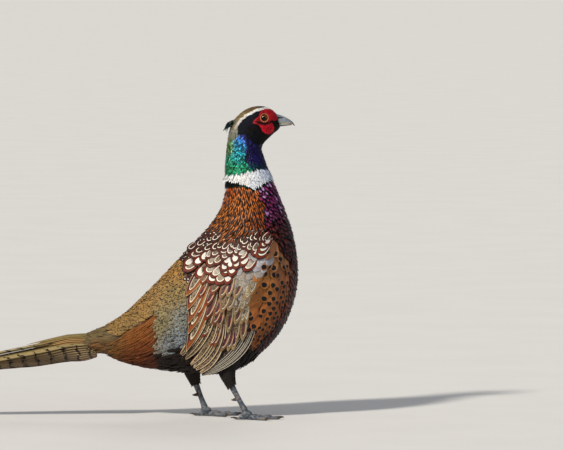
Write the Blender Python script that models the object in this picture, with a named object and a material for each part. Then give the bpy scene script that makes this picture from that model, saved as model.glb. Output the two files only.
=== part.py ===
"""A life-size cock pheasant standing alert: head high, neck upright, back sloping to a long level tail.

The bird faces +X, its left side is +Y and the floor is z = 0. Sizes below are millimetres, and each
mesh is made in metres. The body is one lofted form that is parted into torso, neck and head.
"""

import math

import bmesh
import bpy
import numpy as np
from mathutils import Matrix, Vector

MM = 0.001
GAP = 0.3
CUT_EXTRA = 0.05
SOLVER = "MANIFOLD"

# Rings of the body from the tail's root to the bill's base, each a dorsal point (x, z), a ventral
# point (x, z) and a half width.
BODY_RINGS = (
    (-205, 132, -197, 97, 19),
    (-168, 152, -160, 84, 29),
    (-143, 174, -112, 73, 40),
    (-110, 207, -58, 67, 51),
    (-76, 243, 2, 70, 60),
    (-49, 272, 50, 103, 66),
    (-28, 296, 83, 148, 68),
    (-16, 318, 98, 203, 65),
    (-11.5, 336, 96, 254, 56),
    (-10.5, 350, 84, 300, 44),
    (-10.5, 363, 68, 341, 33),
    (-10.5, 377, 55.5, 371, 28),
    (-8.8, 395, 47.5, 393, 24),
    (-5.8, 421, 44.5, 405, 21),
    (-0.8, 440.5, 48, 412.5, 20),
    (10, 454.4, 56, 421, 19.5),
    (23.3, 463.8, 63, 427.5, 18.8),
    (37.5, 467.6, 68, 431.5, 17),
    (52, 466, 71, 434.5, 13.5),
    (61.5, 461, 72.3, 436.5, 9.5),
    (67.3, 456.2, 72.4, 437, 6.6),
)
NECK_STARTS_AT_RING = 10
HEAD_STARTS_AT_RING = 13
BODY_SIDES = 24
TORSO_RINGS = 25

# Bill: rings of top point (x, z), bottom point (x, z) and half width.
UPPER_BILL_RINGS = (
    (67.6, 456.2, 72.2, 441.9, 6.3),
    (73, 454.6, 75.5, 441.8, 5.7),
    (79.5, 451.8, 80, 441.7, 4.8),
    (86, 448, 85.5, 441.6, 3.6),
    (91, 443.8, 90, 440.8, 2.3),
    (94, 438.9, 93.2, 438.2, 0.9),
)
LOWER_BILL_RINGS = (
    (72.3, 441.5, 72.5, 437.2, 5.2),
    (78, 441.4, 77.5, 437.8, 4.4),
    (84, 441.3, 83.5, 438.4, 3.1),
    (89.3, 440.4, 89, 439.2, 1.0),
)
NOSTRIL = (74.0, 5.6, 450.0)
NOSTRIL_SIZE = (3.0, 1.2, 1.1)

EYE_CENTRE = (48.4, 12.3, 450.3)
EYE_RADIUS = 6.5
LID_RING_RADIUS = 5.4
LID_THICKNESS = 1.0
LID_OUT_FROM_EYE_CENTRE = 4.6

# Wattle: its reach from the eye's centre at each angle, in degrees up from straight forward.
WATTLE_REACH = (
    (-157, 18.5), (-135, 13.5), (-111, 15.0), (-92, 21.5), (-72, 24.0), (-46, 20.5),
    (-26, 12.0), (-10, 18.0), (20, 16.5), (63, 14.0), (100, 11.5), (135, 9.6), (168, 9.0),
)
WATTLE_INNER = 7.8
WATTLE_THICKNESS = 2.4
WATTLE_EDGE_THICKNESS = 0.9
WATTLE_LEAST_BREADTH = 1.2
WATTLE_LIFT = 0.15

EAR_TUFT_ROOT = (6, 10.5, 445)
EAR_TUFT_TIP = (-11, 12.5, 433.5)
EAR_TUFT_BOW = (-1.5, 0, 2.0)
EAR_TUFT_RADII = (3.4, 3.2, 2.4, 1.4, 0.5)

# Wing, in side view (x, z): the lens of flesh and small coverts that carries the feathers.
WING_LIFT = 1.9
WING_CENTRE = (-3, 213)
WING_WAY = (-0.6, -0.8)
WING_LENS = (78, 45, 7.0)
WING_LENS_STEPS = (0.45, 0.8, 1.0)
WING_LENS_SINK = 1.0

# Tiers of wing feathers, under to over. Each has a count, then where the roots, the middles and the
# tips of its first and last feather lie in side view, its width, how far it lies above the lens's face
# at its middle and its tip, and its tilt, one edge up and one edge down.
WING_TIERS = (
    ("primaries", 4, (24, 178), (4, 160), (42, 110), (12, 98), (-38, 63), (-53, 66), 10, 0.0, 0.0, 0.8),
    ("secondaries", 6, (8, 178), (-34, 190), (8, 118), (-64, 158), (-44, 72), (-78, 118), 17, 2.8, 2.8, 0.8),
    ("greater_coverts", 5, (20, 205), (-26, 200), (30, 168), (-40, 170), (27, 128), (-38, 140), 18, 1.8, 5.2, 0.6),
    ("tertials", 3, (-18, 216), (-34, 222), (-46, 172), (-62, 190), (-62, 108), (-75, 142), 15, 3.2, 5.4, 0.8),
    ("median_coverts", 4, (36, 236), (-14, 226), (38, 204), (-24, 200), (33, 168), (-26, 172), 22, 1.3, 4.2, 0.6),
    ("lower_scapulars", 4, (34, 254), (-26, 232), (28, 230), (-42, 212), (18, 206), (-52, 184), 22, 1.3, 3.8, 0.6),
    ("upper_scapulars", 4, (42, 270), (-22, 254), (38, 260), (-40, 244), (30, 240), (-60, 218), 22, 1.3, 3.8, 0.6),
)
VANE_THICKNESS = 0.7
VANE_ROOT_SINK = 2.2
WING_VANE_STOPS = (0, 0.4, 0.82, 1.0)
WING_VANE_WIDE = (0.5, 1.0, 0.85, 0.25)

# Tail: the start of its upper line, its fall, the longest pair, and how the pairs under it follow.
TAIL_ROOT = (-205.6, 126.5)
TAIL_FALL_DEG = 11.5
TAIL_LENGTH = 482
TAIL_PAIRS = 9
TAIL_PAIR_RATIO = 0.85
TAIL_FEATHER_WIDTH = 24
TAIL_ROOT_SINK = 7.0
TAIL_SINK_ENDS = 42
TAIL_VANE_STOPS = (0, 0.12, 0.45, 0.85, 1.0)
TAIL_VANE_WIDE = (0.5, 1.0, 0.92, 0.52, 0.1)
TAIL_BLOCK_LENGTH = 44
TAIL_BLOCK_SECTIONS = ((0, 0.98), (0.25, 0.88), (0.6, 0.6), (1.0, 0.2))
# Coverts over and under the tail's root: sideways, up from the upper line, slope in degrees, length.
OVER_COVERTS = ((0.8, 2.2, 3, 118), (12.4, -1.2, 32, 96), (23, -9.5, 78, 72))
UNDER_COVERTS = ((0.8, -36, 8, 76),)
COVERT_WIDTH = 13

# Legs: (ankle x, ankle z, ball x, sideways place). The right foot stands ahead of the left.
BALL_HEIGHT = 8.5
RIGHT_LEG = dict(side=-1, ankle=(-10, 68), ball=22, apart=34)
LEFT_LEG = dict(side=1, ankle=(-62, 67), ball=-40, apart=31)
HIP_APART = 22
HIP_AHEAD_OF_ANKLE = 16
HIP_HEIGHT = 112.0
THIGH_BOW = -9.0
THIGH_RADII = (20, 20, 19, 16.5, 13.5, 10, 7.2)
THIGH_SQUASH = 0.82
THIGH_END_FROM_ANKLE = 20
TARSUS_SQUASH = 0.8
TARSUS_END_FROM_BALL = 7
FOOT_BALL_RADII = (8, 7.4, 7.0)
SPUR_ABOVE_BALL = 26
SPUR_START = 4.6
SPUR_LENGTH = 8.5
SPUR_RADII = (2.3, 2.0, 1.5, 0.9, 0.35)
TARSUS_RADII = (5.0, 4.0, 3.7, 4.0, 4.8)
FRONT_TOES = ((0, 47, 4.6), (34, 35, 4.2), (-36, 37, 4.2))
HIND_TOE = (178, 15, 3.2)
CLAW_LENGTH = 9.5


def material(name, colour, roughness, metallic=0.0):
    """A Principled BSDF of one colour."""
    made = bpy.data.materials.new(name)
    made.use_nodes = True
    shader = made.node_tree.nodes["Principled BSDF"]
    shader.inputs["Base Color"].default_value = (*colour, 1)
    shader.inputs["Roughness"].default_value = roughness
    shader.inputs["Metallic"].default_value = metallic
    return made


def mesh_object(name, points, faces, finish=None):
    """A mesh object from points in millimetres and faces."""
    mesh = bpy.data.meshes.new(name)
    mesh.from_pydata([tuple(p) for p in np.asarray(points, float) * MM], [], faces)
    mesh.validate()
    if finish is not None:
        mesh.materials.append(finish)
    made = bpy.data.objects.new(name, mesh)
    bpy.context.scene.collection.objects.link(made)
    shape = bmesh.new()
    shape.from_mesh(mesh)
    bmesh.ops.remove_doubles(shape, verts=shape.verts, dist=1e-6)
    bmesh.ops.triangulate(shape, faces=shape.faces)
    bmesh.ops.recalc_face_normals(shape, faces=shape.faces)
    shape.to_mesh(mesh)
    shape.free()
    mesh.shade_smooth()
    mesh.set_sharp_from_angle(angle=math.radians(50))
    return made


def smooth_through(stations, values, wanted):
    """Cubic Hermite curves through values at stations, with slopes from the neighbours' chords."""
    stations, values = np.asarray(stations, float), np.asarray(values, float)
    steps = np.diff(stations)
    chords = np.diff(values, axis=0) / steps[:, None]
    slopes = np.empty_like(values)
    slopes[0], slopes[-1] = chords[0], chords[-1]
    before, after = steps[:-1, None], steps[1:, None]
    slopes[1:-1] = (chords[:-1] * after + chords[1:] * before) / (before + after)
    wanted = np.clip(np.asarray(wanted, float), stations[0], stations[-1])
    index = np.clip(np.searchsorted(stations, wanted, side="right") - 1, 0, len(steps) - 1)
    width = steps[index][..., None]
    t = ((wanted - stations[index]) / steps[index])[..., None]
    return (
        values[index] * (1 + 2 * t) * (1 - t) ** 2
        + slopes[index] * width * t * (1 - t) ** 2
        + values[index + 1] * t * t * (3 - 2 * t)
        + slopes[index + 1] * width * t * t * (t - 1)
    )


RINGS = np.array(BODY_RINGS, float)
MIDDLES = (RINGS[:, 0:2] + RINGS[:, 2:4]) / 2
ALONG = np.concatenate([[0], np.cumsum(np.linalg.norm(np.diff(MIDDLES, axis=0), axis=1))])
NECK_AT = ALONG[NECK_STARTS_AT_RING]
HEAD_AT = ALONG[HEAD_STARTS_AT_RING]
BODY_END = ALONG[-1]


def body_point(along, turn, lift=0.0):
    """The body's surface: along in mm from the tail's root, turn in radians down from the back."""
    along, turn = np.broadcast_arrays(np.asarray(along, float), np.asarray(turn, float))
    ring = smooth_through(ALONG, RINGS, along)
    top, bottom, half = ring[..., 0:2], ring[..., 2:4], ring[..., 4]
    middle, up = (top + bottom) / 2, (top - bottom) / 2
    c, s = np.cos(turn), np.sin(turn)
    x = middle[..., 0] + up[..., 0] * c
    z = middle[..., 1] + up[..., 1] * c
    flat = np.stack([x, half * s, z], axis=-1)
    if np.all(np.asarray(lift) == 0):
        return flat
    return flat + body_normal(along, turn) * np.asarray(lift, float)[..., None]


def body_normal(along, turn):
    """The outward unit normal, from small steps along and around."""
    step, small = 0.5, 0.01
    a = body_point(along + step, turn) - body_point(along - step, turn)
    b = body_point(along, turn + small) - body_point(along, turn - small)
    normal = np.cross(a, b)
    return normal / np.maximum(np.linalg.norm(normal, axis=-1, keepdims=True), 1e-9)


def place_in_side_view(x, z, first, last):
    """(along, c) of side-view points: the ring whose line holds each, and c, 1 at the back to -1 at the belly."""
    x, z = np.asarray(x, float), np.asarray(z, float)
    tries = np.linspace(first, last, 300)
    ring = smooth_through(ALONG, RINGS, tries)
    top, bottom = ring[:, 0:2], ring[:, 2:4]
    up = top - bottom
    from_bottom_x = x[..., None] - bottom[:, 0]
    from_bottom_z = z[..., None] - bottom[:, 1]
    beside = up[:, 0] * from_bottom_z - up[:, 1] * from_bottom_x
    ahead = beside < 0
    index = np.clip(np.sum(ahead, axis=-1), 1, len(tries) - 1)
    b0 = np.take_along_axis(beside, (index - 1)[..., None], -1)[..., 0]
    b1 = np.take_along_axis(beside, index[..., None], -1)[..., 0]
    share = np.clip(b0 / np.where(np.abs(b0 - b1) < 1e-9, 1e-9, b0 - b1), 0, 1)
    along = tries[index - 1] + share * (tries[1] - tries[0])
    ring = smooth_through(ALONG, RINGS, along)
    up = ring[..., 0:2] - ring[..., 2:4]
    reach = (x - ring[..., 2]) * up[..., 0] + (z - ring[..., 3]) * up[..., 1]
    return along, 2 * reach / np.sum(up * up, axis=-1) - 1


def loft(rings_of_points):
    """Points and faces of a tube through rings with the same number of points, closed by flat caps."""
    rings = np.asarray(rings_of_points, float)
    count, sides = rings.shape[0], rings.shape[1]
    points = np.concatenate([rings.reshape(-1, 3), rings[0].mean(0)[None], rings[-1].mean(0)[None]])
    faces = []
    for r in range(count - 1):
        for i in range(sides):
            j = (i + 1) % sides
            faces.append((r * sides + i, r * sides + j, (r + 1) * sides + j, (r + 1) * sides + i))
    first, last = count * sides, count * sides + 1
    for i in range(sides):
        j = (i + 1) % sides
        faces.append((first, j, i))
        faces.append((last, (count - 1) * sides + i, (count - 1) * sides + j))
    return points, faces


def body_part(name, start, end, rings, finish, lift=0.0, open_start=False):
    """A length of the body as one closed loft. A part that follows another starts one gap further on."""
    turns = np.linspace(0, 2 * math.pi, BODY_SIDES, endpoint=False)
    places = np.linspace(start, end, rings)
    made = [body_point(a, turns, np.full(BODY_SIDES, lift)) for a in places]
    if open_start:
        top, side, bottom = made[0][0], made[0][BODY_SIDES // 4], made[0][BODY_SIDES // 2]
        way = np.cross(top - bottom, side - bottom)
        way /= np.linalg.norm(way)
        if np.dot(way, made[1].mean(0) - made[0].mean(0)) < 0:
            way = -way
        made[0] = made[0] + way * GAP
    return mesh_object(name, *loft(made), finish)


def torso_clearance():
    """The torso grown by a gap, to cut what lies against it."""
    return body_part("torso_clearance", 0, NECK_AT, TORSO_RINGS, None, lift=GAP + CUT_EXTRA)


def fused(name, pieces, finish):
    """One closed mesh from closed pieces, by a Boolean union that is applied, keeping its largest surface."""
    base, rest = pieces[0], pieces[1:]
    group = bpy.data.collections.new(name + "_pieces")
    bpy.context.scene.collection.children.link(group)
    for piece in rest:
        bpy.context.scene.collection.objects.unlink(piece)
        group.objects.link(piece)
    join = base.modifiers.new("join", "BOOLEAN")
    join.operation = "UNION"
    join.operand_type = "COLLECTION"
    join.collection = group
    join.solver = SOLVER
    graph = bpy.context.evaluated_depsgraph_get()
    mesh = bpy.data.meshes.new_from_object(base.evaluated_get(graph))
    for piece in [base, *rest]:
        bpy.data.objects.remove(piece)
    bpy.data.collections.remove(group)
    keep_largest(mesh)
    mesh.materials.clear()
    mesh.materials.append(finish)
    mesh.name = name
    made = bpy.data.objects.new(name, mesh)
    bpy.context.scene.collection.objects.link(made)
    return made


def cut(made, cutters):
    """Takes closed cutters away from an object, and keeps its largest closed surface."""
    for cutter in cutters:
        take = made.modifiers.new("cut", "BOOLEAN")
        take.operation = "DIFFERENCE"
        take.object = cutter
        take.solver = SOLVER
    graph = bpy.context.evaluated_depsgraph_get()
    mesh = bpy.data.meshes.new_from_object(made.evaluated_get(graph))
    made.modifiers.clear()
    made.data = mesh
    for cutter in cutters:
        bpy.data.objects.remove(cutter)
    keep_largest(mesh)
    return made


def keep_largest(mesh):
    """Deletes every closed surface of the mesh but the one with the largest box."""
    shape = bmesh.new()
    shape.from_mesh(mesh)
    left, best, best_size = set(shape.faces), [], -1.0
    while left:
        found, edge = set(), [next(iter(left))]
        while edge:
            face = edge.pop()
            if face in found:
                continue
            found.add(face)
            edge.extend(f for e in face.edges for f in e.link_faces if f not in found)
        left -= found
        spots = [v.co for f in found for v in f.verts]
        size = sum(max(p[k] for p in spots) - min(p[k] for p in spots) for k in range(3))
        if size > best_size:
            best, best_size = found, size
    bmesh.ops.delete(shape, geom=[f for f in shape.faces if f not in best], context="FACES")
    bmesh.ops.triangulate(shape, faces=shape.faces)
    shape.to_mesh(mesh)
    shape.free()


def ball(name, centre, radii, finish=None, segments=14, rings=8):
    """An ellipsoid."""
    mesh = bpy.data.meshes.new(name)
    shape = bmesh.new()
    bmesh.ops.create_uvsphere(shape, u_segments=segments, v_segments=rings, radius=1.0)
    size = Matrix.Diagonal((*(r * MM for r in radii), 1))
    bmesh.ops.transform(shape, matrix=Matrix.Translation(Vector(centre) * MM) @ size, verts=shape.verts)
    bmesh.ops.triangulate(shape, faces=shape.faces)
    shape.to_mesh(mesh)
    shape.free()
    if finish is not None:
        mesh.materials.append(finish)
    mesh.shade_smooth()
    made = bpy.data.objects.new(name, mesh)
    bpy.context.scene.collection.objects.link(made)
    return made


def hoop(name, centre, radius, thickness, segments=16, sides=6):
    """A torus round the Y axis through centre."""
    around = np.linspace(0, 2 * math.pi, segments, endpoint=False)
    section = np.linspace(0, 2 * math.pi, sides, endpoint=False)
    a, b = np.meshgrid(around, section, indexing="ij")
    reach = radius + thickness * np.cos(b)
    points = np.stack(
        [centre[0] + reach * np.cos(a), centre[1] + thickness * np.sin(b), centre[2] + reach * np.sin(a)], -1
    )
    faces = [
        (i * sides + j, ((i + 1) % segments) * sides + j,
         ((i + 1) % segments) * sides + (j + 1) % sides, i * sides + (j + 1) % sides)
        for i in range(segments) for j in range(sides)
    ]
    return mesh_object(name, points.reshape(-1, 3), faces)


def tube(centres, radii, sides=10, squash=1.0):
    """Rings of a tube through centres, each a circle across the way on, squashed sideways."""
    centres, radii = np.asarray(centres, float), np.asarray(radii, float)
    ways = np.gradient(centres, axis=0)
    ways /= np.linalg.norm(ways, axis=1, keepdims=True)
    turns = np.linspace(0, 2 * math.pi, sides, endpoint=False)
    rings = []
    for centre, way, radius in zip(centres, ways, radii):
        across = np.cross(way, (0, 0, 1.0)) if abs(way[2]) < 0.9 else np.cross(way, (1.0, 0, 0))
        across /= np.linalg.norm(across)
        over = np.cross(across, way)
        rings.append(
            centre + radius * (squash * np.outer(np.cos(turns), across) + np.outer(np.sin(turns), over))
        )
    return np.array(rings)


def bill_part(name, rings, finish, arch):
    """A half of the bill: rings arched above (arch 1) or below (arch -1), flat on the mouth's side."""
    stations = np.arange(len(rings), dtype=float)
    places = np.linspace(0, len(rings) - 1, 11)
    ring = smooth_through(stations, rings, places)
    turns = np.linspace(0, 2 * math.pi, 16, endpoint=False)
    c, s = np.cos(turns), np.sin(turns)
    made = []
    for tx, tz, bx, bz, half in ring:
        rise = np.where(arch * c < 0, 0.5 + 0.5 * np.sign(c) * np.abs(c) ** 0.35, (c + 1) / 2)
        x = bx + (tx - bx) * rise
        z = bz + (tz - bz) * rise
        y = half * np.sign(s) * np.abs(s) ** 0.8
        made.append(np.stack([x, y, z], -1))
    return mesh_object(name, *loft(made), finish)


def head_node(finish):
    """The head with its lids and ear tufts fused on, and a socket for each eye."""
    skull = body_part("skull", HEAD_AT, BODY_END, 17, finish, open_start=True)
    pieces = [skull]
    for side in (-1, 1):
        eye = (EYE_CENTRE[0], side * (EYE_CENTRE[1] + LID_OUT_FROM_EYE_CENTRE), EYE_CENTRE[2])
        pieces.append(hoop("lid", eye, LID_RING_RADIUS, LID_THICKNESS))
        root = np.array(EAR_TUFT_ROOT) * (1, side, 1)
        tip = np.array(EAR_TUFT_TIP) * (1, side, 1)
        reach = np.linspace(0, 1, len(EAR_TUFT_RADII))[:, None]
        bow = np.array(EAR_TUFT_BOW) * np.sin(math.pi * reach)
        path = root + (tip - root) * reach + bow
        pieces.append(mesh_object("tuft", *loft(tube(path, EAR_TUFT_RADII, 8, 0.6))))
    head = fused("head", pieces, finish)
    sockets = [
        ball("socket", (EYE_CENTRE[0], side * EYE_CENTRE[1], EYE_CENTRE[2]), (EYE_RADIUS + GAP,) * 3)
        for side in (-1, 1)
    ]
    return cut(head, sockets)


def closed_plate(name, inner, outer, finish=None, ring=False):
    """A closed mesh between two grids alike; with ring, the first axis runs right round."""
    rows, columns = inner.shape[:2]
    count = rows * columns
    points = np.concatenate([inner.reshape(-1, 3), outer.reshape(-1, 3)])
    faces = []
    for i in range(rows if ring else rows - 1):
        for j in range(columns - 1):
            k = (i + 1) % rows
            a, b, c, d = i * columns + j, k * columns + j, k * columns + j + 1, i * columns + j + 1
            faces += [(a, b, c), (a, c, d), (a + count, c + count, b + count), (a + count, d + count, c + count)]
    for j in (0, columns - 1):
        for i in range(rows if ring else rows - 1):
            k = (i + 1) % rows
            a, b = i * columns + j, k * columns + j
            faces.append((a, b, b + count, a + count))
    if not ring:
        for i in (0, rows - 1):
            for j in range(columns - 1):
                a, b = i * columns + j, i * columns + j + 1
                faces.append((a, b, b + count, a + count))
    return mesh_object(name, points, faces, finish)


def wattle_node(name, side, finish):
    """The red bare skin round an eye: a plate with a bulging outer rim and small folds."""
    angles = np.array([a for a, _ in WATTLE_REACH] + [WATTLE_REACH[0][0] + 360], float)
    reaches = np.array([r for _, r in WATTLE_REACH] + [WATTLE_REACH[0][1]], float)[:, None]
    around = np.linspace(angles[0], angles[-1], 28, endpoint=False)
    reach = smooth_through(angles, reaches, around)[:, 0]
    across = np.linspace(0, 1, 4)
    radius = WATTLE_INNER + (np.maximum(reach, WATTLE_INNER + WATTLE_LEAST_BREADTH)[:, None] - WATTLE_INNER) * across
    angle = np.radians(around)[:, None]
    x = EYE_CENTRE[0] + radius * np.cos(angle)
    z = EYE_CENTRE[2] + radius * np.sin(angle)
    along, c = place_in_side_view(x, z, HEAD_AT, BODY_END)
    turn = np.arccos(np.clip(c, -0.97, 0.97))
    base, normal = body_point(along, turn), body_normal(along, turn)
    swell = np.sin(math.pi * np.clip(across * 0.8 + 0.15, 0, 1)) ** 0.6
    folds = 0.25 * np.sin(7 * angle) * np.sin(math.pi * across)
    high = WATTLE_EDGE_THICKNESS + (WATTLE_THICKNESS - WATTLE_EDGE_THICKNESS) * swell[None, :] + folds
    inner = base + normal * (GAP + WATTLE_LIFT)
    outer = base + normal * (GAP + high[..., None])
    for layer in (inner, outer):
        layer[..., 1] *= side
    return closed_plate(name, inner, outer, finish, ring=True)


def bezier(start, middle, end, share):
    """Points and unit ways of a curve from start to end, pulled towards middle."""
    start, middle, end = (np.asarray(p, float) for p in (start, middle, end))
    t = share[:, None]
    points = (1 - t) ** 2 * start + 2 * t * (1 - t) * middle + t * t * end
    ways = 2 * (1 - t) * (middle - start) + 2 * t * (end - middle)
    return points, ways / np.linalg.norm(ways, axis=1, keepdims=True)


def lens_reach(x, z):
    """How far out in the wing's lens a side-view point lies: 0 at its middle, 1 at its rim."""
    lengthwise = (x - WING_CENTRE[0]) * WING_WAY[0] + (z - WING_CENTRE[1]) * WING_WAY[1]
    sideways = (z - WING_CENTRE[1]) * WING_WAY[0] - (x - WING_CENTRE[0]) * WING_WAY[1]
    return np.hypot(lengthwise / WING_LENS[0], sideways / WING_LENS[1])


def lens_height(x, z):
    """The lift of the lens's outer face."""
    return WING_LIFT + WING_LENS[2] * np.sqrt(np.clip(1 - lens_reach(x, z) ** 2, 0, 1))


def over_body(x, z, lift, side, deepest=-0.62):
    """Side-view points laid over the body's side at a lift. Below deepest they hang straight down."""
    along, c = place_in_side_view(x, z, 0, NECK_AT)
    turn = np.arccos(np.clip(c, deepest, 0.995))
    surface = body_point(along, turn)
    spots = np.stack([x, surface[..., 1], z], -1) + body_normal(along, turn) * np.asarray(lift)[..., None]
    return spots * (1, side, 1)


def wing_vane(tier, place, side):
    """One feather of a tier: place 0 to 1 from the tier's first feather to its last."""
    name, _, root0, root1, mid0, mid1, tip0, tip1, width, lift, tip_lift, tilt = tier

    def between(first, last):
        return np.array(first, float) * (1 - place) + np.array(last, float) * place

    wide = np.array(WING_VANE_WIDE)
    stops = np.array(WING_VANE_STOPS)
    points, ways = bezier(between(root0, root1), between(mid0, mid1), between(tip0, tip1), stops)
    across = np.stack([-ways[:, 1], ways[:, 0]], -1)
    u = np.array((-1.0, 1.0))
    spots = points[:, None] + across[:, None] * (u[None, :] * wide[:, None] * width / 2)[..., None]
    x, z = spots[..., 0], spots[..., 1]
    above = np.array((-VANE_ROOT_SINK, lift, tip_lift, tip_lift))[:, None]
    middle = lens_height(x, z) + above + tilt * u[None, :]
    inner = over_body(x, z, middle - VANE_THICKNESS / 2, side)
    outer = over_body(x, z, middle + VANE_THICKNESS / 2, side)
    return closed_plate(name, inner, outer)


def wing_node(name, side, finish):
    """The folded wing: a lens on the body's side, and its feathers in tiers out to their tips."""
    turn = np.linspace(0, 2 * math.pi, 16, endpoint=False)
    t, r = np.meshgrid(turn, WING_LENS_STEPS, indexing="ij")
    lengthwise, sideways = WING_LENS[0] * np.cos(t) * r, WING_LENS[1] * np.sin(t) * r
    x = WING_CENTRE[0] + WING_WAY[0] * lengthwise - WING_WAY[1] * sideways
    z = WING_CENTRE[1] + WING_WAY[1] * lengthwise + WING_WAY[0] * sideways
    inner = over_body(x, z, np.full_like(x, -WING_LENS_SINK), side)
    outer = over_body(x, z, lens_height(x, z), side)
    pieces = [closed_disc("lens", inner, outer)]
    for tier in WING_TIERS:
        pieces += [wing_vane(tier, place, side) for place in np.linspace(0, 1, tier[1])]
    return cut(fused(name, pieces, finish), [torso_clearance()])


def closed_disc(name, inner, outer):
    """A closed lens from two fans alike: first axis round, second from the middle to the rim."""
    around, steps = inner.shape[:2]
    count = around * steps
    points = np.concatenate([
        inner.reshape(-1, 3), outer.reshape(-1, 3), inner[:, 0].mean(0)[None], outer[:, 0].mean(0)[None]
    ])
    faces = []
    for i in range(around):
        k = (i + 1) % around
        for j in range(steps - 1):
            a, b, c, d = i * steps + j, k * steps + j, k * steps + j + 1, i * steps + j + 1
            faces += [(a, b, c), (a, c, d), (a + count, c + count, b + count), (a + count, d + count, c + count)]
        a, b = i * steps + steps - 1, k * steps + steps - 1
        faces += [(a, b, b + count), (a, b + count, a + count)]
        faces += [(2 * count, k * steps, i * steps), (2 * count + 1, i * steps + count, k * steps + count)]
    return mesh_object(name, points, faces)


def tail_vane(name, side, edge, slope_deg, width, length, sink=TAIL_ROOT_SINK):
    """A tail feather: edge is its inner edge (sideways, up) from the tail's upper line, and it slopes
    down and outwards from there as a roof does. Its root is sunk towards the tail's middle."""
    fall, slope = math.radians(TAIL_FALL_DEG), math.radians(slope_deg)
    back = np.array([-math.cos(fall), 0, -math.sin(fall)])
    up = np.array([-math.sin(fall), 0, math.cos(fall)])
    out = np.array([0, side, 0])
    across = out * math.cos(slope) - up * math.sin(slope)
    normal = out * math.sin(slope) + up * math.cos(slope)
    wide = width * np.array(TAIL_VANE_WIDE)
    reach = 4 + (length - 4) * np.array(TAIL_VANE_STOPS)
    sunk = sink * np.clip(1 - reach / TAIL_SINK_ENDS, 0, 1)
    rachis = (
        np.array([TAIL_ROOT[0], 0, TAIL_ROOT[1]]) + np.outer(reach, back) + np.outer(edge[1] - sunk, up)
        + out * edge[0] + np.outer((width - wide) * 0.4, across) - np.outer(np.abs(sunk) * edge[0] / 20, out)
    )
    spots = rachis[:, None] + across * (np.array((0, 1.0))[None, :] * wide[:, None])[..., None]
    half = normal * VANE_THICKNESS / 2
    return closed_plate(name, spots - half, spots + half)


def tail_node(finish):
    """The tail: a block against the rump, nine pairs of feathers laid like a roof, and their coverts."""
    fall = math.radians(TAIL_FALL_DEG)
    back = np.array([-math.cos(fall), 0, -math.sin(fall)])
    turns = np.linspace(0, 2 * math.pi, BODY_SIDES, endpoint=False)
    ring = body_point(0.0, turns)
    middle = ring.mean(0)
    away = np.cross(ring[0] - middle, ring[BODY_SIDES // 4] - middle)
    away /= np.linalg.norm(away)
    away = away if away[0] < 0 else -away
    rings = [
        middle + away * GAP + back * TAIL_BLOCK_LENGTH * share + (ring - middle) * size
        for share, size in TAIL_BLOCK_SECTIONS
    ]
    pieces = [mesh_object("block", *loft(rings))]
    half = TAIL_FEATHER_WIDTH / 2
    pieces.append(tail_vane("centre_over", 1, (-half, 0), 0, TAIL_FEATHER_WIDTH, TAIL_LENGTH))
    pieces.append(tail_vane("centre_under", -1, (-half + 1, -1.7), 0, TAIL_FEATHER_WIDTH, TAIL_LENGTH - 14))
    for side in (-1, 1):
        for pair in range(1, TAIL_PAIRS):
            edge = (0.6 + 0.55 * pair, -1.7 - 2.2 * pair)
            width = TAIL_FEATHER_WIDTH * (0.95 - 0.03 * pair)
            length = TAIL_LENGTH * TAIL_PAIR_RATIO ** pair
            pieces.append(tail_vane("pair", side, edge, 15 + 4.5 * pair, width, length))
        for aside, up, slope, length in OVER_COVERTS:
            pieces.append(tail_vane("over_covert", side, (aside, up), slope, COVERT_WIDTH, length))
        for aside, up, slope, length in UNDER_COVERTS:
            turned = tail_vane("under_covert", side, (aside, up), -slope, COVERT_WIDTH, length, -TAIL_ROOT_SINK)
            pieces.append(turned)
    return fused("tail", pieces, finish)


def leg_way(leg):
    """The ankle, the ball of the foot and the unit way down from one to the other."""
    y = leg["side"] * leg["apart"]
    ankle = np.array([leg["ankle"][0], y, leg["ankle"][1]], float)
    foot = np.array([leg["ball"], y, BALL_HEIGHT], float)
    down = foot - ankle
    return ankle, foot, down / np.linalg.norm(down)


def thigh_node(name, leg, finish):
    """The feathered drumstick below the belly: a tapering loft, cut clear of the torso."""
    ankle, _, down = leg_way(leg)
    end = ankle + down * THIGH_END_FROM_ANKLE
    hip = np.array([ankle[0] + HIP_AHEAD_OF_ANKLE, leg["side"] * HIP_APART, HIP_HEIGHT])
    share = np.linspace(0, 1, len(THIGH_RADII))[:, None]
    bend = np.array([THIGH_BOW, 0, 0]) * np.sin(math.pi * share)
    rings = tube(hip + (end - hip) * share + bend, THIGH_RADII, 16, THIGH_SQUASH)
    rings[-1] -= np.outer((rings[-1] - end) @ down, down)
    made = mesh_object(name, *loft(rings), finish)
    return cut(made, [torso_clearance()])


def tarsus_node(name, leg, finish):
    """The bare scaled shank from the thigh's feathers to the foot."""
    ankle, foot, down = leg_way(leg)
    start = ankle + down * (THIGH_END_FROM_ANKLE + GAP)
    end = foot - down * TARSUS_END_FROM_BALL
    share = np.linspace(0, 1, len(TARSUS_RADII))[:, None]
    path = start + (end - start) * share
    return mesh_object(name, *loft(tube(path, TARSUS_RADII, 12, TARSUS_SQUASH)), finish)


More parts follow.
